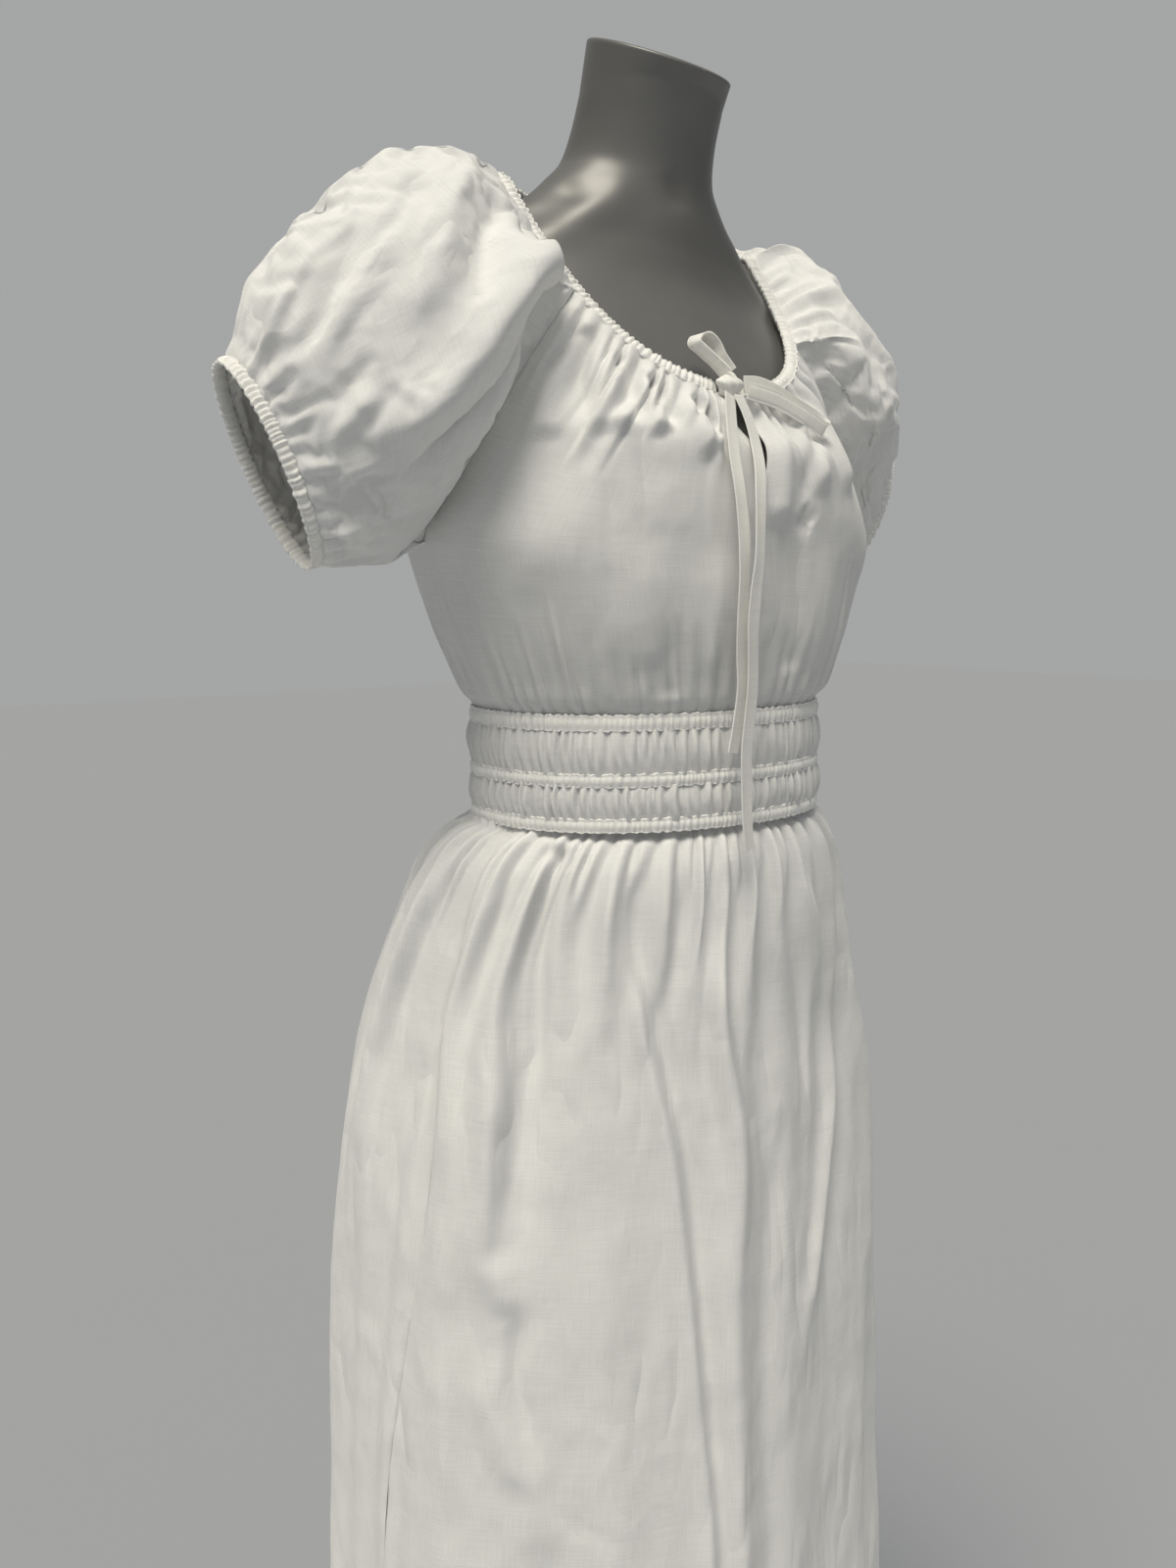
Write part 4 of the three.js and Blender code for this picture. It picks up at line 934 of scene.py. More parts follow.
# Bodice
def bodice_base(rows, facing, across, down):
    """Points of the front (facing -1) or back (facing 1) panel. Across runs from -1 to 1."""
    across, down = np.broadcast_arrays(np.asarray(across, float), np.asarray(down, float))
    row = row_at(rows, "down", down)
    side = row_at(BODICE_SIDE, "down", np.maximum(down, UNDERARM_DOWN))
    for name, value in side.items():
        row[name] = np.where(down >= UNDERARM_DOWN, value, row[name])
    edge = np.radians(np.minimum(row["reach"], 90))
    angle = across * edge
    along = np.maximum(np.cos(angle), 0) ** (2 / row["power"])
    along_at_edge = np.maximum(np.cos(edge), 0) ** (2 / row["power"])
    rise = (1 - along) / (1 - along_at_edge)
    x = row["half_width"] * signed_power(np.sin(angle), 2 / row["power"])
    y = row["middle_y"] + facing * row["depth"] * along
    return leaned(point(x, y, mix(row["centre_z"], row["edge_z"], rise)))


def softened(grid, across, passes):
    """The grid with its rows eased into each other, except along its sides and ends."""
    hold = fade(np.abs(across), 0.86, 1)[..., None]
    soft = grid.copy()
    for _ in range(passes):
        soft[1:-1] = 0.25 * soft[:-2] + 0.5 * soft[1:-1] + 0.25 * soft[2:]
    return mix(soft, grid, hold)


FRONT_CREASES = [
    (17, 7.0, 0.2, 0.2, [(-118, -62, 1250), (-78, -97, 1248), (-35, -111, 1244), (8, -116, 1240),
                         (50, -108, 1236), (95, -85, 1230)]),
    (34, -7.0, 0.2, 0.2, [(-142, -58, 1190), (-82, -110, 1186), (0, -126, 1182), (82, -108, 1176),
                          (138, -52, 1170)]),
    (12, 7.0, 0.5, 0.16, [(-99, -55, 1307), (-114, -58, 1277), (-121, -64, 1243)]),
    (11, 8.0, 0.5, 0.16, [(-81, -68, 1307), (-85, -79, 1276), (-90, -90, 1243)]),
    (9, 7.0, 0.5, 0.16, [(-69, -81, 1292), (-66, -91, 1268), (-63, -101, 1243)]),
    (9, 7.5, 0.5, 0.16, [(-53, -88, 1280), (-42, -99, 1260), (-33, -111, 1232)]),
    (12, 7.5, 0.4, 0.2, [(16, -99, 1269), (15, -115, 1229), (13, -124, 1190)]),
    (9, 6.0, 0.4, 0.2, [(40, -92, 1278), (48, -105, 1245), (55, -112, 1212)]),
    (11, 6.5, 0.4, 0.2, [(72, -78, 1292), (82, -88, 1250), (88, -95, 1212)]),
    (6, -5.0, 0.1, 0.4, [(-90, -60, 1315), (-97, -67, 1286), (-102, -81, 1250)]),
    (5, -4.5, 0.1, 0.4, [(-74, -74, 1298), (-72, -85, 1271), (-76, -97, 1244)]),
    (5, -4.5, 0.1, 0.4, [(-60, -84, 1286), (-56, -97, 1262), (-54, -105, 1241)]),
    (5, -5.0, 0.1, 0.4, [(-36, -95, 1275), (-24, -106, 1250), (-20, -114, 1222)]),
    (7, -5.0, 0.1, 0.3, [(61, -82, 1286), (57, -103, 1255), (38, -119, 1217), (40, -121, 1202)]),
    (8, -4.0, 0.3, 0.3, [(34, -121, 1205), (41, -121, 1199), (48, -118, 1197)]),
    (12, -2.0, 0.3, 0.3, [(-94, -95, 1232), (-100, -105, 1181), (-91, -97, 1135)]),
    (6, -2.2, 0.5, 0.1, [(-61, -113, 1142), (-58, -106, 1118), (-54, -99, 1089)]),
    (12, -2.0, 0.3, 0.3, [(-137, -54, 1228), (-147, -64, 1181), (-144, -56, 1158)]),
    (10, -3.0, 0.4, 0.1, [(26, -123, 1199), (29, -120, 1157), (37, -106, 1100)]),
    (12, 2.5, 0.4, 0.2, [(-78, -112, 1190), (-76, -106, 1150), (-70, -98, 1105)]),
    (10, 2.5, 0.4, 0.2, [(-30, -125, 1190), (-32, -119, 1150), (-30, -108, 1100)]),
    (12, 2.5, 0.4, 0.2, [(60, -112, 1190), (62, -106, 1145), (58, -97, 1100)]),
]


def slit_at(z):
    """Middle and half width of the slit below the knot at a height."""
    top_x, top_z, half_top = KEYHOLE["top"]
    widest_z, half_wide = KEYHOLE["widest"]
    foot_x, foot_z = KEYHOLE["foot"]
    middle = np.interp(z, [foot_z - 40, foot_z, top_z], [0, foot_x, top_x])
    heights = [foot_z, (foot_z + widest_z) / 2, widest_z, top_z]
    half = np.interp(z, heights, [0, 0.68 * half_wide, half_wide, half_top])
    return middle, half


def opened_at_slit(grid, normals, middle_column):
    """The front's grid with its middle column doubled and drawn apart to the slit's two edges."""
    doubled = np.insert(np.arange(grid.shape[1]), middle_column + 1, middle_column)
    grid = grid[:, doubled].copy()
    normals = normals[:, doubled]
    middle, half = slit_at(grid[..., 2])
    near = 1 - fade(np.abs(grid[..., 0]), 0, 34)
    side = np.where(np.arange(grid.shape[1]) <= middle_column, -1, 1)
    grid[..., 0] += near * (middle + side * half)
    last_row = int((grid[:, middle_column, 2] > KEYHOLE["foot"][1]).sum())
    return grid, normals, (middle_column, last_row)


BACK_CREASES = [
    (14, -3.0, 0.3, 0.3, [(-60, 92, 1330), (-66, 112, 1250), (-58, 108, 1150)]),
    (16, 3.0, 0.3, 0.3, [(-20, 92, 1340), (-24, 116, 1250), (-20, 112, 1140)]),
    (12, -2.5, 0.3, 0.3, [(28, 90, 1330), (30, 115, 1240), (24, 110, 1130)]),
    (15, 3.0, 0.3, 0.3, [(70, 84, 1320), (74, 105, 1240), (62, 100, 1140)]),
    (11, -3.0, 0.5, 0.1, [(-96, 88, 1180), (-92, 84, 1130), (-82, 76, 1088)]),
    (11, -3.0, 0.5, 0.1, [(98, 86, 1180), (94, 82, 1130), (84, 74, 1088)]),
]
# Gathers are (count, shortest and longest, lowest and highest, seed)
BODICE_PANELS = {
    "bodice_front": {
        "rows": FRONT_ROWS, "facing": -1, "columns": 201, "lines": 111, "creases": FRONT_CREASES,
        "neck": (22, (34, 96), (5.5, 11.5), 11), "waist": (30, (12, 72), (2.0, 5.6), 12),
        "flat": (0.50, 0.25), "area": 0.105,
    },
    "bodice_back": {
        "rows": BACK_ROWS, "facing": 1, "columns": 151, "lines": 91, "creases": BACK_CREASES,
        "neck": (26, (14, 80), (3.4, 6.5), 21), "waist": (30, (12, 80), (2.0, 5.4), 22),
        "flat": (0.50, 0.33), "area": 0.135,
    },
}
NECK_HALF = 126
WAIST_HALF = 180
WAIST_GATHERS_HALF = 178
BODICE_LENGTH = 205
CLOSER_TO_NECK = 1.08
EASING_PASSES = 26
NECK_SWAY = 2.2
# How far gathers stay sharp from the neck and from the waist
BODICE_SHARP = {"neck": 70, "waist": 45}
BODICE_SWELLS = {"size": 55, "high": 1.0, "ease": 30}
SIDE_EASE = 14
WAIST_DIP = {"deep": 2.6, "reach": 8}


def bodice_surface(panel):
    """Outer points of a bodice panel with its gathers and creases, and the normals of its smooth form."""
    down = np.linspace(0, 1, panel["lines"]) ** CLOSER_TO_NECK
    wide, deep = np.meshgrid(np.linspace(-1, 1, panel["columns"]), down)
    base = softened(bodice_base(panel["rows"], panel["facing"], wide, deep), wide, EASING_PASSES)
    normals = grid_normals(base, False, base - point(0, 10, base[..., 2]))
    neck = uneven_ridges(-NECK_HALF, NECK_HALF, *panel["neck"])
    waist = uneven_ridges(-WAIST_GATHERS_HALF, WAIST_GATHERS_HALF, *panel["waist"])
    at_neck = wide * NECK_HALF + NECK_SWAY * np.sin(deep * 9 + wide * 5)
    to_waist = (1 - deep) * BODICE_LENGTH
    field = gather_field(at_neck, deep * BODICE_LENGTH, neck, sharp=BODICE_SHARP["neck"])
    field += gather_field(wide * WAIST_HALF, to_waist, waist, sharp=BODICE_SHARP["waist"])
    to_side = (1 - np.abs(wide)) * WAIST_HALF
    field += stroke_field(base, panel["creases"])
    field *= fade(to_side, 0, SIDE_EASE)
    swells = rumple_field(base, BODICE_SWELLS["size"], BODICE_SWELLS["high"], panel["facing"] + 3)
    field += swells * fade(to_side, 0, BODICE_SWELLS["ease"])
    field -= WAIST_DIP["deep"] * (1 - fade(to_waist, 0, WAIST_DIP["reach"]))
    return base + normals * field[..., None], normals


def add_bodice_panel(name):
    panel = BODICE_PANELS[name]
    outer, normals = bodice_surface(panel)
    slit = None
    if name == "bodice_front":
        outer, normals, slit = opened_at_slit(outer, normals, outer.shape[1] // 2)
    outer, normals = tucked(outer, normals, foot=TUCK)
    piece = shell_piece(name, outer, normals, over_form_painted_shade, slit=slit)


for panel_name in BODICE_PANELS:
    add_bodice_panel(panel_name)


# Neckline
def neckline(turn):
    """The line where the cloth comes out of the neck casing. Turn is in radians, 0 at the front."""
    turn = np.asarray(turn, float)
    side = np.where(np.sin(turn) < 0, -1.0, 1.0)
    angle = np.arccos(np.clip(np.cos(turn), -1, 1))
    in_front = bodice_base(FRONT_ROWS, -1, side * np.minimum(angle / FRONT_EDGE, 1), 0)
    behind = bodice_base(BACK_ROWS, 1, side * np.minimum((np.pi - angle) / (np.pi - BACK_EDGE), 1), 0)
    power = FRONT_ROWS["power"][0]
    along = signed_power(np.cos(angle), 2 / power)
    across = np.sin(angle) ** (2 / power)
    depth = np.where(along > 0, FRONT_ROWS["depth"][0], BACK_ROWS["depth"][0])
    y = FRONT_ROWS["middle_y"][0] - along * depth
    centre_z = FRONT_ROWS["centre_z"][0]
    slope = (FRONT_ROWS["edge_z"][0] - centre_z) / (1 - np.cos(FRONT_EDGE) ** (2 / power))
    z = centre_z + slope * np.minimum(1 - along, 1)
    height = mix(np.minimum(z, NECK_SIDE_Z), BACK_ROWS["edge_z"][0], fade(angle, np.pi / 2, BACK_EDGE))
    between = leaned(point(side * FRONT_ROWS["half_width"][0] * across, y, height))
    found = np.where((angle <= FRONT_EDGE)[..., None], in_front, between)
    return np.where((angle >= BACK_EDGE)[..., None], behind, found)


# Fall of the cloth from the neckline, out and down: in front or behind, and at the sides
NECK_FALL_OUT = (0.5, 1)
NECK_FALL_DOWN = (0.86, 0.12)


def neckline_frame(turn):
    """The cloth's directions at the neckline: away from the casing, and out of the garment."""
    ahead = unit(neckline(turn + 0.02) - neckline(turn - 0.02))
    sideways = np.sin(turn) ** 2
    out = mix(*NECK_FALL_OUT, sideways)
    fall = point(out * np.sin(turn), -out * np.cos(turn), -mix(*NECK_FALL_DOWN, sideways))
    fall = unit(fall - (fall * ahead).sum(-1, keepdims=True) * ahead)
    outwards = unit(np.cross(fall, ahead))
    guide = point(np.sin(turn), -np.cos(turn), 0.6)
    facing = np.sign((outwards * guide).sum(-1, keepdims=True))
    return fall, outwards * facing


# How far close puckers and slower waves of a casing move its cloth up and out, and its fullness between them
PUCKER = {"up": 0.5, "out": 1.5}
WAVE = {"up": 1.1, "out": 0.6}
FULLNESS = 0.42
# Distance between puckers
PITCH = {"neck": 3.9, "cuff": 3.6, "waist": 4.2}


def ruched_piece(node, edge, fall, outwards, size, pitch, ring, seed):
    """A narrow casing drawn up on elastic: an oval tube with close uneven puckers along it."""
    steps = np.linalg.norm(np.diff(edge, axis=0), axis=1)
    along = np.concatenate([[0], np.cumsum(steps)])
    total = along[-1]
    ridges = uneven_ridges(0, total, int(total / pitch), (50, 60), (0.7, 1.3), seed)
    other = uneven_ridges(0, total, int(total / (pitch * 1.6)), (50, 60), (0.5, 1.2), seed + 1)
    pucker = gather_field(along, np.zeros_like(along), ridges, pinch=1)
    slow = gather_field(along, np.zeros_like(along), other, pinch=1)
    if ring:
        ease = fade(np.minimum(along, total - along), 0, 4)
        pucker = pucker * ease
        slow = slow * ease
    sections = []
    for up, out in CASING_PROFILE:
        shift = WAVE["up"] * slow * (2 * up - 1) + PUCKER["up"] * pucker * abs(2 * up - 1)
        bulge = out * (FULLNESS * size["thick"] + PUCKER["out"] * pucker + WAVE["out"] * slow)
        place = edge - fall * (up * size["wide"] + shift)[:, None] + outwards * bulge[:, None]
        sections.append(place)
    sections = np.stack(sections, 1)
    if ring:
        sections = sections[:-1]
    return sweep_piece(f"{node}_cloth", sections, cotton, ring, node)


def add_neck_casing():
    half_width = FRONT_ROWS["half_width"][0]
    start = (NECK_CASING["middle_x"] + NECK_CASING["half_gap"]) / half_width
    end = 2 * np.pi + (NECK_CASING["middle_x"] - NECK_CASING["half_gap"]) / half_width
    turn = np.linspace(start, end, 1300)
    fall, outwards = neckline_frame(turn)
    edge = neckline(turn) - outwards * NECK_CASING["sink"] + fall * NECK_CASING["lap"]
    piece = ruched_piece("neck_casing", edge, fall, outwards, NECK_CASING, PITCH["neck"], False, 31)


add_neck_casing()


# Sleeves
def sleeve_top(turn, side):
    """The upper edge of a sleeve: up the front raglan seam, along the neckline, down the back one."""
    front_neck, back_neck = SLEEVE_NECK_TURNS
    front = bodice_base(FRONT_ROWS, -1, side, UNDERARM_DOWN * np.clip(1 - turn / front_neck, 0, 1))
    share = np.clip((turn - front_neck) / (back_neck - front_neck), 0, 1)
    over = neckline(side * mix(FRONT_EDGE, BACK_EDGE, share))
    back_down = UNDERARM_DOWN * np.clip((turn - back_neck) / (360 - back_neck), 0, 1)
    back = bodice_base(BACK_ROWS, 1, side, back_down)
    found = np.where((turn <= front_neck)[..., None], front, over)
    return np.where((turn >= back_neck)[..., None], back, found)


def cuff_frame(sleeve):
    side = sleeve["side"]
    top = np.array([side * sleeve["top"][0], sleeve["middle_y"], sleeve["top"][1]], float)
    foot = np.array([side * sleeve["foot"][0], sleeve["middle_y"], sleeve["foot"][1]], float)
    centre = (top + foot) / 2
    up = top - centre
    out = unit(np.array([side * up[2], 0, -side * up[0]]))
    return centre, up, np.array([0, -sleeve["half_open"], 0.0]), out


def cuff_point(turn, sleeve):
    centre, up, front, _ = cuff_frame(sleeve)
    angle = np.radians(turn)[..., None]
    return centre - up * np.cos(angle) + front * np.sin(angle)


def sleeve_base(turn, down, sleeve):
    flow = row_at(sleeve["flow"], "turn", turn)
    start = sleeve_top(turn, sleeve["side"])
    end = cuff_point(turn, sleeve)
    leave = point(sleeve["side"] * flow["leave_out"], -flow["leave_front"], flow["leave_up"])
    reach = point(sleeve["side"] * flow["reach_out"], -flow["reach_front"], flow["reach_up"])
    d = down[..., None]
    ends = start * (1 + 2 * d) * (1 - d) ** 2 + end * d * d * (3 - 2 * d)
    return ends + leave * d * (1 - d) ** 2 - reach * d * d * (1 - d)


RIGHT_SLEEVE_CREASES = [
    (15, 15.0, 0.12, 0.35, [(-112, -46, 1362), (-145, -76, 1324), (-172, -80, 1293), (-200, -74, 1260),
                            (-230, -58, 1242), (-248, -44, 1232)]),
    (12, -15.0, 0.1, 0.35, [(-114, -60, 1334), (-144, -77, 1301), (-172, -77, 1268), (-202, -68, 1234),
                            (-226, -52, 1214)]),
    (8, 6.0, 0.2, 0.4, [(-132, -14, 1412), (-160, -34, 1384), (-180, -50, 1352), (-196, -62, 1318),
                        (-222, -58, 1288)]),
    (8, -7.0, 0.15, 0.4, [(-122, -26, 1394), (-150, -48, 1364), (-170, -66, 1332), (-184, -74, 1304)]),
    (6, -4.5, 0.2, 0.4, [(-106, -30, 1382), (-124, -52, 1358), (-140, -68, 1338)]),
    (6, 4.5, 0.3, 0.4, [(-205, -45, 1362), (-235, -48, 1318), (-258, -42, 1284)]),
    (7, -5.5, 0.3, 0.4, [(-218, -38, 1368), (-248, -42, 1316), (-270, -34, 1280)]),
    (6, 4.5, 0.3, 0.5, [(-262, -28, 1330), (-276, -28, 1300), (-284, -24, 1284)]),
    (6, -4.0, 0.3, 0.4, [(-228, -60, 1284), (-246, -54, 1266), (-260, -46, 1252)]),
    (6, 4.5, 0.3, 0.4, [(-226, -62, 1268), (-244, -54, 1250), (-256, -44, 1234)]),
    (7, -5.0, 0.3, 0.4, [(-222, -56, 1226), (-238, -44, 1210), (-246, -32, 1198)]),
    (8, 5.5, 0.3, 0.3, [(-216, -46, 1204), (-230, -34, 1192), (-240, -20, 1184)]),
]
# Fine creases, pressed in after the sleeve has settled: how deep each is, and its path
FINE_WIDE = 4.5
FINE_TAPER = 0.3
FINE_PATHS = [
    (2.2, [(-245, -25, 1350), (-260, -30, 1330), (-275, -30, 1305), (-280, -25, 1285)]),
    (-2.0, [(-210, -30, 1370), (-235, -35, 1350), (-255, -30, 1335)]),
    (2.4, [(-210, -55, 1335), (-240, -50, 1310), (-250, -50, 1290), (-260, -45, 1275)]),
    (-2.0, [(-235, -50, 1310), (-245, -45, 1305), (-270, -35, 1280)]),
    (-2.4, [(-165, -60, 1345), (-165, -75, 1320), (-180, -75, 1310)]),
    (2.2, [(-220, -65, 1280), (-220, -70, 1270), (-205, -75, 1255)]),
    (-2.2, [(-215, -70, 1275), (-225, -65, 1260), (-240, -60, 1240)]),
    (2.0, [(-250, -40, 1215), (-240, -50, 1215), (-230, -60, 1230)]),
    (-1.8, [(-245, 5, 1375), (-265, -5, 1345), (-275, -15, 1320)]),
    (-2.2, [(-180, -25, 1390), (-205, -40, 1360), (-225, -50, 1330)]),
    (2.0, [(-245, -55, 1265), (-255, -45, 1250), (-260, -40, 1230)]),
    (2.4, [(-175, -50, 1360), (-195, -65, 1325), (-210, -70, 1300)]),
]
FINE_SLEEVE_CREASES = [
    (5, 2.6, 0.2, 0.4, [(-140, 0, 1420), (-165, -25, 1390), (-180, -45, 1365), (-195, -55, 1340),
                        (-215, -60, 1315)]),
    *((FINE_WIDE, deep, FINE_TAPER, FINE_TAPER, path) for deep, path in FINE_PATHS),
]


def mirrored(creases):
    """The same creases on the other sleeve, at its lower shoulder."""
    return [(*form, [(-x, y, z - LEFT_LOWER) for x, y, z in path]) for *form, path in creases]


LEFT_SLEEVE_CREASES = [
    (10, 3.5, 0.3, 0.4, [(112, -50, 1330), (138, -70, 1296), (160, -70, 1262), (182, -60, 1232)]),
    (9, -3.0, 0.3, 0.4, [(112, -62, 1308), (134, -72, 1278), (158, -70, 1244)]),
    (8, 4.0, 0.2, 0.4, [(128, -18, 1376), (158, -40, 1342), (184, -48, 1300), (204, -40, 1262)]),
    (8, -4.0, 0.2, 0.4, [(122, -30, 1362), (146, -54, 1326), (168, -62, 1290)]),
    (6, 3.0, 0.3, 0.4, [(176, -20, 1362), (204, -24, 1324), (220, -20, 1290)]),
    (6, -3.0, 0.3, 0.4, [(186, -34, 1330), (206, -32, 1296), (218, -24, 1270)]),
]
BACK_SLEEVE_CREASES = [
    (12, 7.0, 0.2, 0.4, [(-120, 62, 1372), (-160, 78, 1330), (-200, 76, 1280), (-228, 60, 1236)]),
    (11, -6.0, 0.2, 0.4, [(-116, 74, 1340), (-156, 82, 1296), (-196, 74, 1246)]),
    (9, -4.0, 0.2, 0.4, [(-150, 50, 1396), (-200, 56, 1350), (-244, 46, 1300)]),
    (7, 3.5, 0.3, 0.4, [(-190, 30, 1394), (-236, 34, 1346), (-268, 26, 1304)]),
    (6, -3.0, 0.3, 0.4, [(-214, 64, 1290), (-240, 50, 1262), (-256, 38, 1240)]),
    (6, 3.0, 0.3, 0.4, [(-208, 60, 1226), (-230, 44, 1204), (-242, 26, 1188)]),
]


LEFT_LOWER = 28
# Middle of the armhole on the wearer's left, where the middle line of a sleeve begins
ARMHOLE = (152, 14, 1292.0)
SLEEVE_TURNS = 124
SLEEVE_LINES = 60
LARGER_AT_REST = 0.07
# Gathers are (count, shortest and longest, lowest and highest)
SLEEVE_NECK_GATHERS = (13, (18, 80), (3.0, 7.0))
CUFF_GATHERS = (30, (14, 56), (2.4, 6.0))
# How deep the cloth falls in beside the front seam, how far from it, and how wide
SEAM_FALL = {"right": 12, "left": 5, "from_seam": 20, "wide": 16}
# How far gathers stay sharp, and how far the cloth eases into its edges
SLEEVE_SHARP = {"neck": 45, "cuff": 30}
SLEEVE_EASE = {"neck": 18, "cuff": 14, "seam": 14}
SLEEVE_SWELLS = {"size": 60, "high": 3.0}
DRAWN_IN = 4.0


def sleeve_field(name, base, turn, reach, to_cuff, creases, seed):
    """Height of a sleeve's gathers, creases and swells over its smooth form."""
    front_neck, back_neck = SLEEVE_NECK_TURNS
    over = fade(turn, front_neck - 10, front_neck + 6) * (1 - fade(turn, back_neck - 6, back_neck + 10))
    neck = uneven_ridges(front_neck - 4, back_neck + 4, *SLEEVE_NECK_GATHERS, seed)
    cuff = uneven_ridges(-6, 366, *CUFF_GATHERS, seed + 1)
    field = gather_field(turn, reach, neck, sharp=SLEEVE_SHARP["neck"]) * over
    field += gather_field(turn, to_cuff, cuff, sharp=SLEEVE_SHARP["cuff"])
    inner = fade(reach, 0, SLEEVE_EASE["neck"]) * fade(to_cuff, 0, SLEEVE_EASE["cuff"])
    swells = rumple_field(base, SLEEVE_SWELLS["size"], SLEEVE_SWELLS["high"], seed)
    field += (stroke_field(base, creases) + swells - DRAWN_IN) * inner
    in_front = fade(turn, 12, 50) * (1 - fade(turn, 112, 130))
    beside_seam = in_front * np.exp(-(((reach - SEAM_FALL["from_seam"]) / SEAM_FALL["wide"]) ** 2))
    return field - SEAM_FALL[name] * beside_seam * fade(reach, 0, SLEEVE_EASE["seam"])


def pressed_in(outer, creases, spine):
    """A settled sleeve with its fine creases, and its normals."""
    centres = mix(spine[0, 0], spine[-1, 0], np.linspace(0, 1, len(outer))[:, None, None])
    normals = grid_normals(outer, True, outer - centres)
    row = np.arange(len(outer))[:, None]
    inner = fade(row, 0, 8) * (1 - fade(row, len(outer) - 9, len(outer) - 1))
    outer = outer + normals * (inner * stroke_field(outer, creases))[..., None]
    return outer, grid_normals(outer, True, outer - centres)


def add_sleeve(name, creases, fine, seed):
    sleeve = SLEEVES[name]
    around = np.linspace(0, 360, SLEEVE_TURNS, endpoint=False)
    turn, down = np.meshgrid(around, np.linspace(0, 1, SLEEVE_LINES))
    base = sleeve_base(turn, down, sleeve)
    spine = mix(np.array(ARMHOLE) * (sleeve["side"], 1, 1), cuff_frame(sleeve)[0], down[..., None])
    normals = grid_normals(base, True, base - spine)
    lengths = np.linalg.norm(np.diff(base, axis=0), axis=-1).sum(0)
    reach = down * lengths
    to_cuff = (1 - down) * lengths
    field = sleeve_field(name, base, turn, reach, to_cuff, creases, seed)
    laid = base + normals * field[..., None]
    axis = spine + (base - spine).mean(1, keepdims=True)
    larger = LARGER_AT_REST * fade(reach, 0, 50) * fade(to_cuff, 0, 40)
    rest = laid + (laid - axis) * larger[..., None]
    pinned = (down == 0) | (down == 1)
    outer, normals = pressed_in(finer(settled(laid, rest, pinned)), fine, spine)
    piece = shell_piece(f"sleeve_{name}", outer, normals, puffed[name], ring=True)


def add_cuff(name, seed):
    sleeve = SLEEVES[name]
    turn = np.linspace(0, 360, 761)
    edge = cuff_point(turn, sleeve)
    centre, _, _, out = cuff_frame(sleeve)
    outwards = unit(edge - centre)
    fall = np.broadcast_to(-out, edge.shape)
    node = f"cuff_casing_{name}"
    edge = edge - outwards * CUFF_CASING["sink"] + fall * CUFF_CASING["lap"]
    piece = ruched_piece(node, edge, fall, outwards, CUFF_CASING, PITCH["cuff"], True, seed)


add_sleeve("right", RIGHT_SLEEVE_CREASES + BACK_SLEEVE_CREASES, FINE_SLEEVE_CREASES, 41)
add_sleeve("left", LEFT_SLEEVE_CREASES + mirrored(BACK_SLEEVE_CREASES), mirrored(FINE_SLEEVE_CREASES), 44)
add_cuff("right", 51)
add_cuff("left", 54)


# Waist
WAIST_ROUND = 715
# Shortest and longest, lowest and highest
WAIST_GATHERS = ((12, 44), (1.0, 4.4))


def waist_point(angle, z, grow):
    half_width, front, back = (WAIST[key] + grow for key in ("half_width", "front", "back"))
    return oval(angle, half_width, front, back, WAIST["power"], 0.0, z)


def add_waist_casings():
    angle = np.linspace(0, 2 * np.pi, 1001)
    for order, (node, (low, high)) in enumerate(WAIST_CASINGS.items()):
        edge = waist_point(angle, low, -1.3)
        outwards = unit(edge * (1, 1, 0))
        fall = np.broadcast_to(np.array([0, 0, -1.0]), edge.shape)
        size = {"wide": high - low, "thick": WAIST_CASING_THICK}
        piece = ruched_piece(node, edge, fall, outwards, size, PITCH["waist"], True, 61 + 2 * order)


def add_waist_panels():
    around = np.linspace(0, 2 * np.pi, 900, endpoint=False)
    angle, down = np.meshgrid(around, np.linspace(0, 1, 13))
    at = angle / (2 * np.pi) * WAIST_ROUND
    shape = {"pinch": 0.8, "full": 4, "sharp": 60}
    for order, (node, (low, high, puff)) in enumerate(WAIST_PANELS.items()):
        tall = high - low
        upper = uneven_ridges(-4, WAIST_ROUND + 4, 88, *WAIST_GATHERS, 71 + order)
        lower = uneven_ridges(-4, WAIST_ROUND + 4, 92, *WAIST_GATHERS, 75 + order)
        field = gather_field(at, down * tall, upper, **shape)
        field += gather_field(at + 1.5 * np.sin(down * 4), (1 - down) * tall, lower, **shape)
        field *= fade(np.minimum(at, WAIST_ROUND - at), 0, 5)
        base = waist_point(angle, mix(high + 1.5, low - 1.5, down), -1.6 + puff * np.sin(np.pi * down))
        normals = grid_normals(base, True, base * (1, 1, 0))
        outer = base + normals * (0.95 * field)[..., None]
        piece = shell_piece(node, outer, normals, over_form_painted_shade, ring=True)


add_waist_casings()
add_waist_panels()


# Skirt
def skirt_base(angle, below):
    """Points of the skirt's smooth outside. The angle is in degrees from the front."""
    row = row_at(SKIRT_SECTIONS, "below", below)
    half_width = row["half_width"] + SKIRT_EASE
    depth = row["depth"] + SKIRT_EASE
    return oval(np.radians(angle), half_width, depth, depth, 2.0, row["middle_y"], SKIRT_TOP_Z - below)


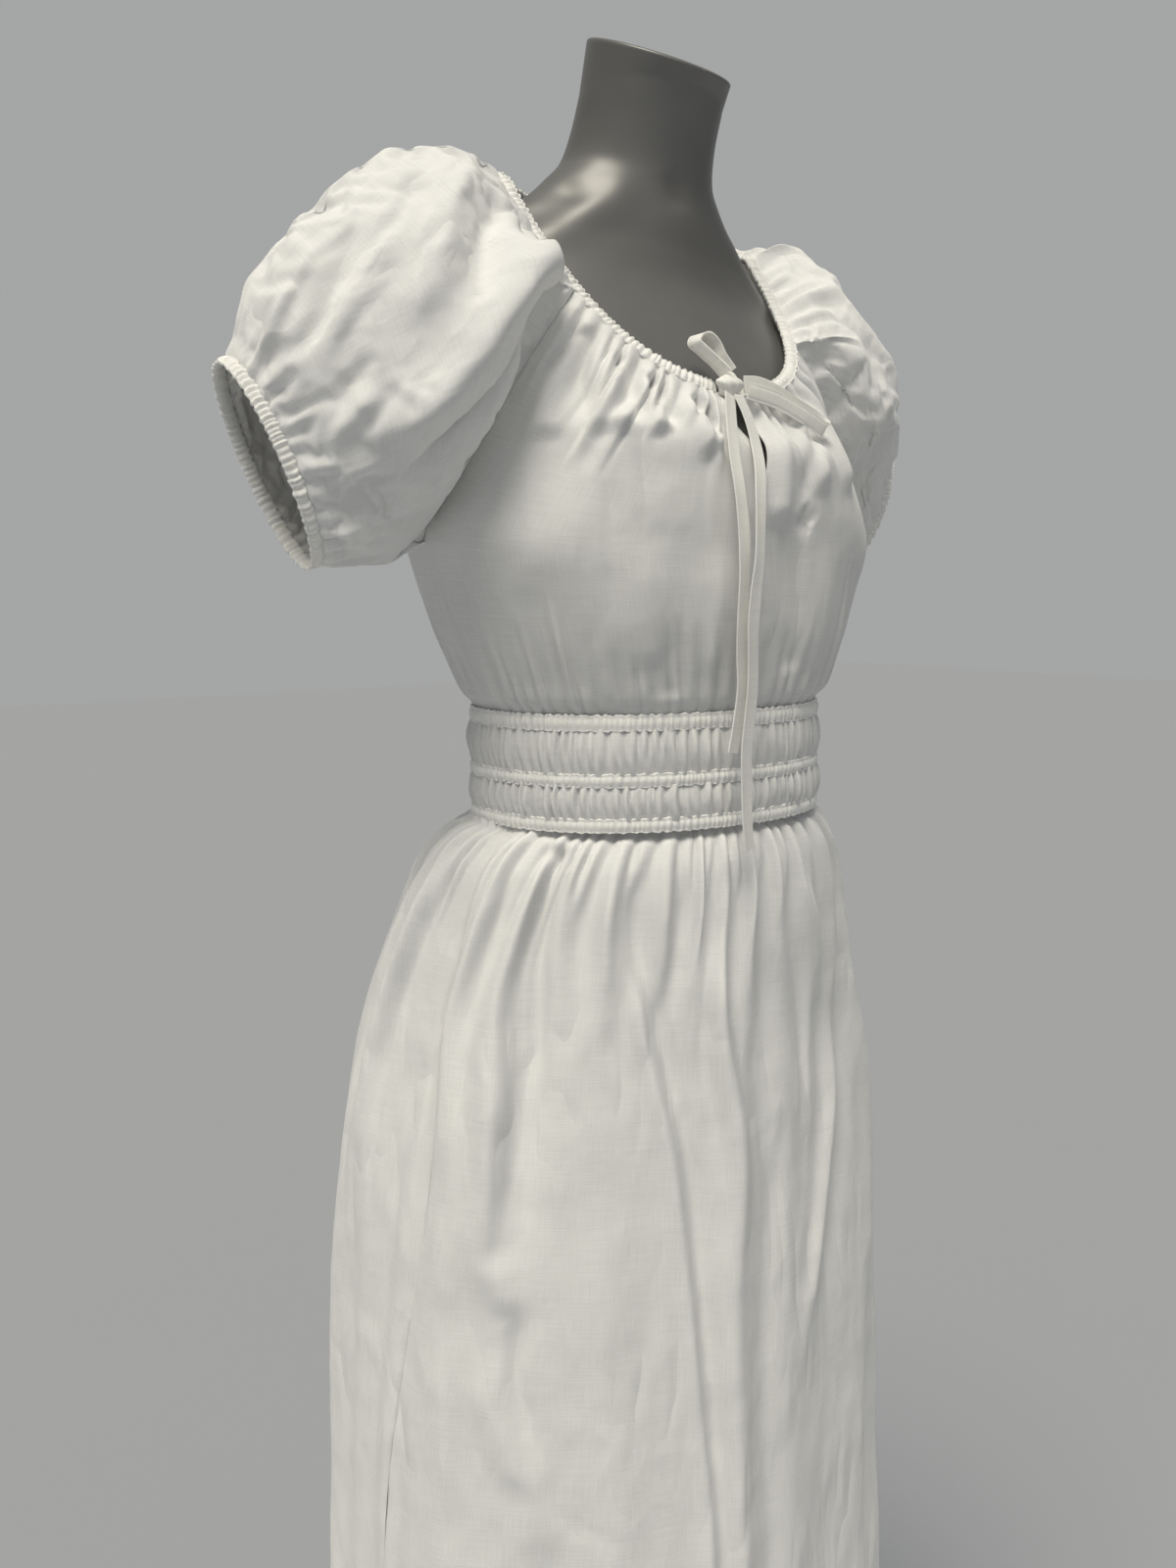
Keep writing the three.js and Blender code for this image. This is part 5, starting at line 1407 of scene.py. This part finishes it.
# Creases of the skirt: (wide, deep, taper in, taper out, path of angle and distance below the waist)
SKIRT_CREASES = [
    (7, -8.0, 0.05, 0.5, [(-55, 6), (-49, 72), (-46, 133), (-46.5, 180)]),
    (12, -10.0, 0.5, 0.5, [(-51, 50), (-46.5, 133), (-47, 216), (-47.5, 300)]),
    (16, 6.0, 0.3, 0.4, [(-54.5, 110), (-54, 230), (-54, 320)]),
    (10, 4.0, 0.4, 0.4, [(-51, 258), (-50, 285), (-48, 306)]),
    (7, -4.5, 0.4, 0.4, [(-45.5, 285), (-47, 320), (-46.5, 352), (-44, 385), (-40.5, 400)]),
    (10, 3.5, 0.4, 0.3, [(-52, 320), (-51.5, 365), (-47.5, 405), (-40, 418)]),
    (7, 5.5, 0.1, 0.1, [(-33.5, 40), (-23.8, 130), (-17.8, 219), (-13.5, 383), (-11.5, 480), (-12, 776)]),
    (8, -7.0, 0.1, 0.1, [(-29, 40), (-19.6, 130), (-13.6, 219), (-10, 383), (-8.5, 480), (-9, 776)]),
    (13, 8.0, 0.1, 0.1, [(-12.5, 45), (-5, 189), (-6.5, 305), (-6, 475), (-4, 776)]),
    (13, -5.0, 0.15, 0.1, [(4, 60), (3.2, 155), (4, 250), (2, 382), (4, 560), (5, 776)]),
    (52, -11.0, 0.2, 0.1, [(24, 50), (25, 155), (24, 250), (22, 382), (23, 560), (24, 776)]),
    (9, 6.0, 0.1, 0.3, [(22, 35), (30, 171), (24, 264), (17, 333), (10, 406)]),
    (12, -5.0, 0.3, 0.3, [(28, 60), (36, 171), (31, 264), (25, 340), (20, 400)]),
    (18, 4.0, 0.3, 0.3, [(46, 60), (52, 200), (46, 330), (38, 430)]),
    (18, -8.0, 0.3, 0.1, [(44, 330), (48, 420), (46, 600), (46, 776)]),
    (10, -5.0, 0.1, 0.2, [(-72, 40), (-70, 120), (-69, 250), (-74, 400), (-80, 776)]),
    (15, 4.0, 0.2, 0.2, [(-62, 60), (-60, 200), (-62, 400), (-60, 776)]),
    (17, 3.5, 0.3, 0.1, [(-32, 160), (-31, 300), (-28, 480), (-27, 776)]),
    (16, -8.0, 0.3, 0.1, [(-41, 420), (-42, 560), (-42, 776)]),
    (15, -8.0, 0.2, 0.1, [(66, 90), (68, 300), (70, 776)]),
    (8, -1.5, 0.5, 0.5, [(14, 180), (8, 225), (5, 290)]),
    (8, 1.6, 0.5, 0.5, [(30, 280), (20, 340), (15, 420)]),
    (6, -0.9, 0.4, 0.4, [(-40, 425), (-34, 446), (-26, 456)]),
    (8, -1.6, 0.4, 0.4, [(-60, 230), (-58, 290), (-59, 350)]),
    (9, 1.8, 0.4, 0.4, [(-64, 310), (-61, 380), (-62, 450)]),
    (17, 5.0, 0.2, 0.1, [(56, 120), (60, 400), (59, 776)]),
]
BACK_SKIRT_CREASES = [
    (22, -10.0, 0.1, 0.1, [(-161, 30), (-160, 300), (-158, 776)]),
    (18, 5.0, 0.1, 0.1, [(-150, 20), (-150, 300), (-149, 776)]),
    (20, -10.0, 0.1, 0.1, [(-139, 60), (-140, 400), (-141, 776)]),
    (18, 5.0, 0.1, 0.1, [(-128, 30), (-127, 300), (-128, 776)]),
    (22, -9.0, 0.1, 0.1, [(-117, 20), (-116, 300), (-115, 776)]),
    (18, 4.5, 0.1, 0.1, [(-105, 40), (-107, 400), (-108, 776)]),
    (17, -8.0, 0.15, 0.1, [(-94, 70), (-97, 400), (-100, 776)]),
    (17, -11.0, 0.2, 0.1, [(-81, 50), (-80, 230), (-86, 450), (-90, 776)]),
    (18, -9.0, 0.1, 0.1, [(90, 30), (92, 400), (94, 776)]),
    (17, 5.0, 0.1, 0.1, [(102, 40), (101, 300), (102, 776)]),
    (22, -11.0, 0.1, 0.1, [(114, 60), (112, 400), (110, 776)]),
    (18, 5.0, 0.1, 0.1, [(126, 30), (125, 400), (124, 776)]),
    (20, -9.0, 0.1, 0.1, [(137, 20), (138, 300), (139, 776)]),
    (18, 5.0, 0.1, 0.1, [(148, 40), (149, 400), (149, 776)]),
    (22, -11.0, 0.1, 0.1, [(160, 70), (159, 400), (158, 776)]),
    (17, -8.0, 0.1, 0.1, [(181, 40), (183, 400), (184, 776)]),
    (16, 5.0, 0.1, 0.1, [(171, 30), (171, 400), (172, 776)]),
]
# Gathers that show below the low waist casing, by angle
SEEN_GATHERS = [
    -78, -72, -67, -60.5, -54.6, -50, -46, -42, -35, -29, -22, -16.5, -13, -10, -6, -2, 2, 6, 11, 15, 20, 27,
]


def on_skirt(creases):
    """Creases given by angle and distance below the waist, as paths of points."""
    found = []
    for wide, deep, taper_in, taper_out, path in creases:
        angle, below = np.array(path, float).T
        found.append((wide, deep, taper_in, taper_out, skirt_base(angle, below)))
    return found


def skirt_gathers(seed, step, length, height):
    """Gathers all round: the seen ones, and uneven ones on the other sides. Step 2 takes every other one."""
    hidden = uneven_ridges(30, 280, 46, length, height, seed)
    draw = np.random.default_rng(seed + 1)
    count = len(SEEN_GATHERS)
    seen = {"at": np.array(SEEN_GATHERS), "length": draw.uniform(*length, count),
            "height": draw.uniform(*height, count)}
    whole = {key: np.concatenate([seen[key], hidden[key]])[::step] for key in seen}
    before = {key: whole[key] - (360 if key == "at" else 0) for key in whole}
    return {key: np.concatenate([before[key], whole[key]]) for key in whole}


SKIRT_PANELS = {
    "skirt_front": {"middle": 0, "columns": 262, "lines": 168, "seed": 91, "pocket_lift": 0.8,
                    "flat": (0.62, 0.776)},
    "skirt_back": {"middle": 180, "columns": 230, "lines": 120, "seed": 92, "pocket_lift": -0.8,
                   "flat": (0.74, 0.776)},
}
# Shares of a panel's lines that are above distances below the waist: more of them near the gathers
LINES_ABOVE = ([0, 0.16, 0.84, 1], [0, 50, 480, SKIRT_LENGTH])
SIDE_RADIUS = 190
SKIRT_SWAY = 2.2
SKIRT_SWELLS = {"size": 90, "high": 1.6}
WAIST_EDGE = {"deep": 3.2, "reach": 8}
HEM_EASE = 1.5
POCKET_LIFT_WIDE = 9
SMALL_SHAPE = {"pinch": 0.5, "full": 14, "sharp": 50}
LARGE_SHAPE = {"pinch": 0.2, "full": 60, "sharp": 60}
# Skirt gathers are (seed, step, shortest and longest, lowest and highest)
SMALL_GATHERS = (81, 1, (28, 115), (3.5, 8.0))
LARGE_GATHERS = (84, 2, (110, 340), (5.0, 13.0))


def skirt_field(base, angle, below, seed):
    """Height of the skirt's gathers, creases and hem over its smooth form."""
    at = angle + SKIRT_SWAY * np.sin(below / 47 + angle / 9) * fade(below, 10, 120)
    small = skirt_gathers(*SMALL_GATHERS)
    large = skirt_gathers(*LARGE_GATHERS)
    field = gather_field(at, below, small, **SMALL_SHAPE)
    field += gather_field(at, below, large, **LARGE_SHAPE)
    field += stroke_field(base, on_skirt(SKIRT_CREASES + BACK_SKIRT_CREASES), laid=True)
    field += rumple_field(base, SKIRT_SWELLS["size"], SKIRT_SWELLS["high"], seed) * fade(below, 20, 120)
    field -= WAIST_EDGE["deep"] * (1 - fade(below, 0, WAIST_EDGE["reach"]))
    hem = SKIRT_LENGTH - SKIRT_HEM["deep"]
    return field + SKIRT_HEM["step"] * fade(below, hem - HEM_EASE, hem)


def add_skirt_panel(name):
    panel = SKIRT_PANELS[name]
    lines = np.interp(np.linspace(0, 1, panel["lines"]), *LINES_ABOVE)
    across, below = np.meshgrid(np.linspace(-1, 1, panel["columns"]), lines)
    seam = row_at(SKIRT_SIDE, "below", below)["angle"]
    reach = 180 - seam if panel["middle"] else seam
    angle = panel["middle"] + across * reach
    on_right = np.sin(np.radians(angle)) < 0
    pocket = np.exp(-((below - POCKET["below"]) / POCKET["half_long"]) ** 4) * on_right
    angle -= np.sign(across) * POCKET["gap"] * pocket * fade(np.abs(across), 0.92, 1)
    base = skirt_base(angle, below)
    axis = point(0, row_at(SKIRT_SECTIONS, "below", below)["middle_y"], base[..., 2])
    normals = grid_normals(base, False, base - axis)
    to_seam = (1 - np.abs(across)) * np.radians(reach) * SIDE_RADIUS
    field = skirt_field(base, angle, below, panel["seed"]) + seam_dip(to_seam)
    field += panel["pocket_lift"] * pocket * np.exp(-((to_seam / POCKET_LIFT_WIDE) ** 2))
    outer, normals = tucked(base + normals * field[..., None], normals, top=TUCK)
    piece = shell_piece(name, outer, normals, cotton)


for panel_name in SKIRT_PANELS:
    add_skirt_panel(panel_name)
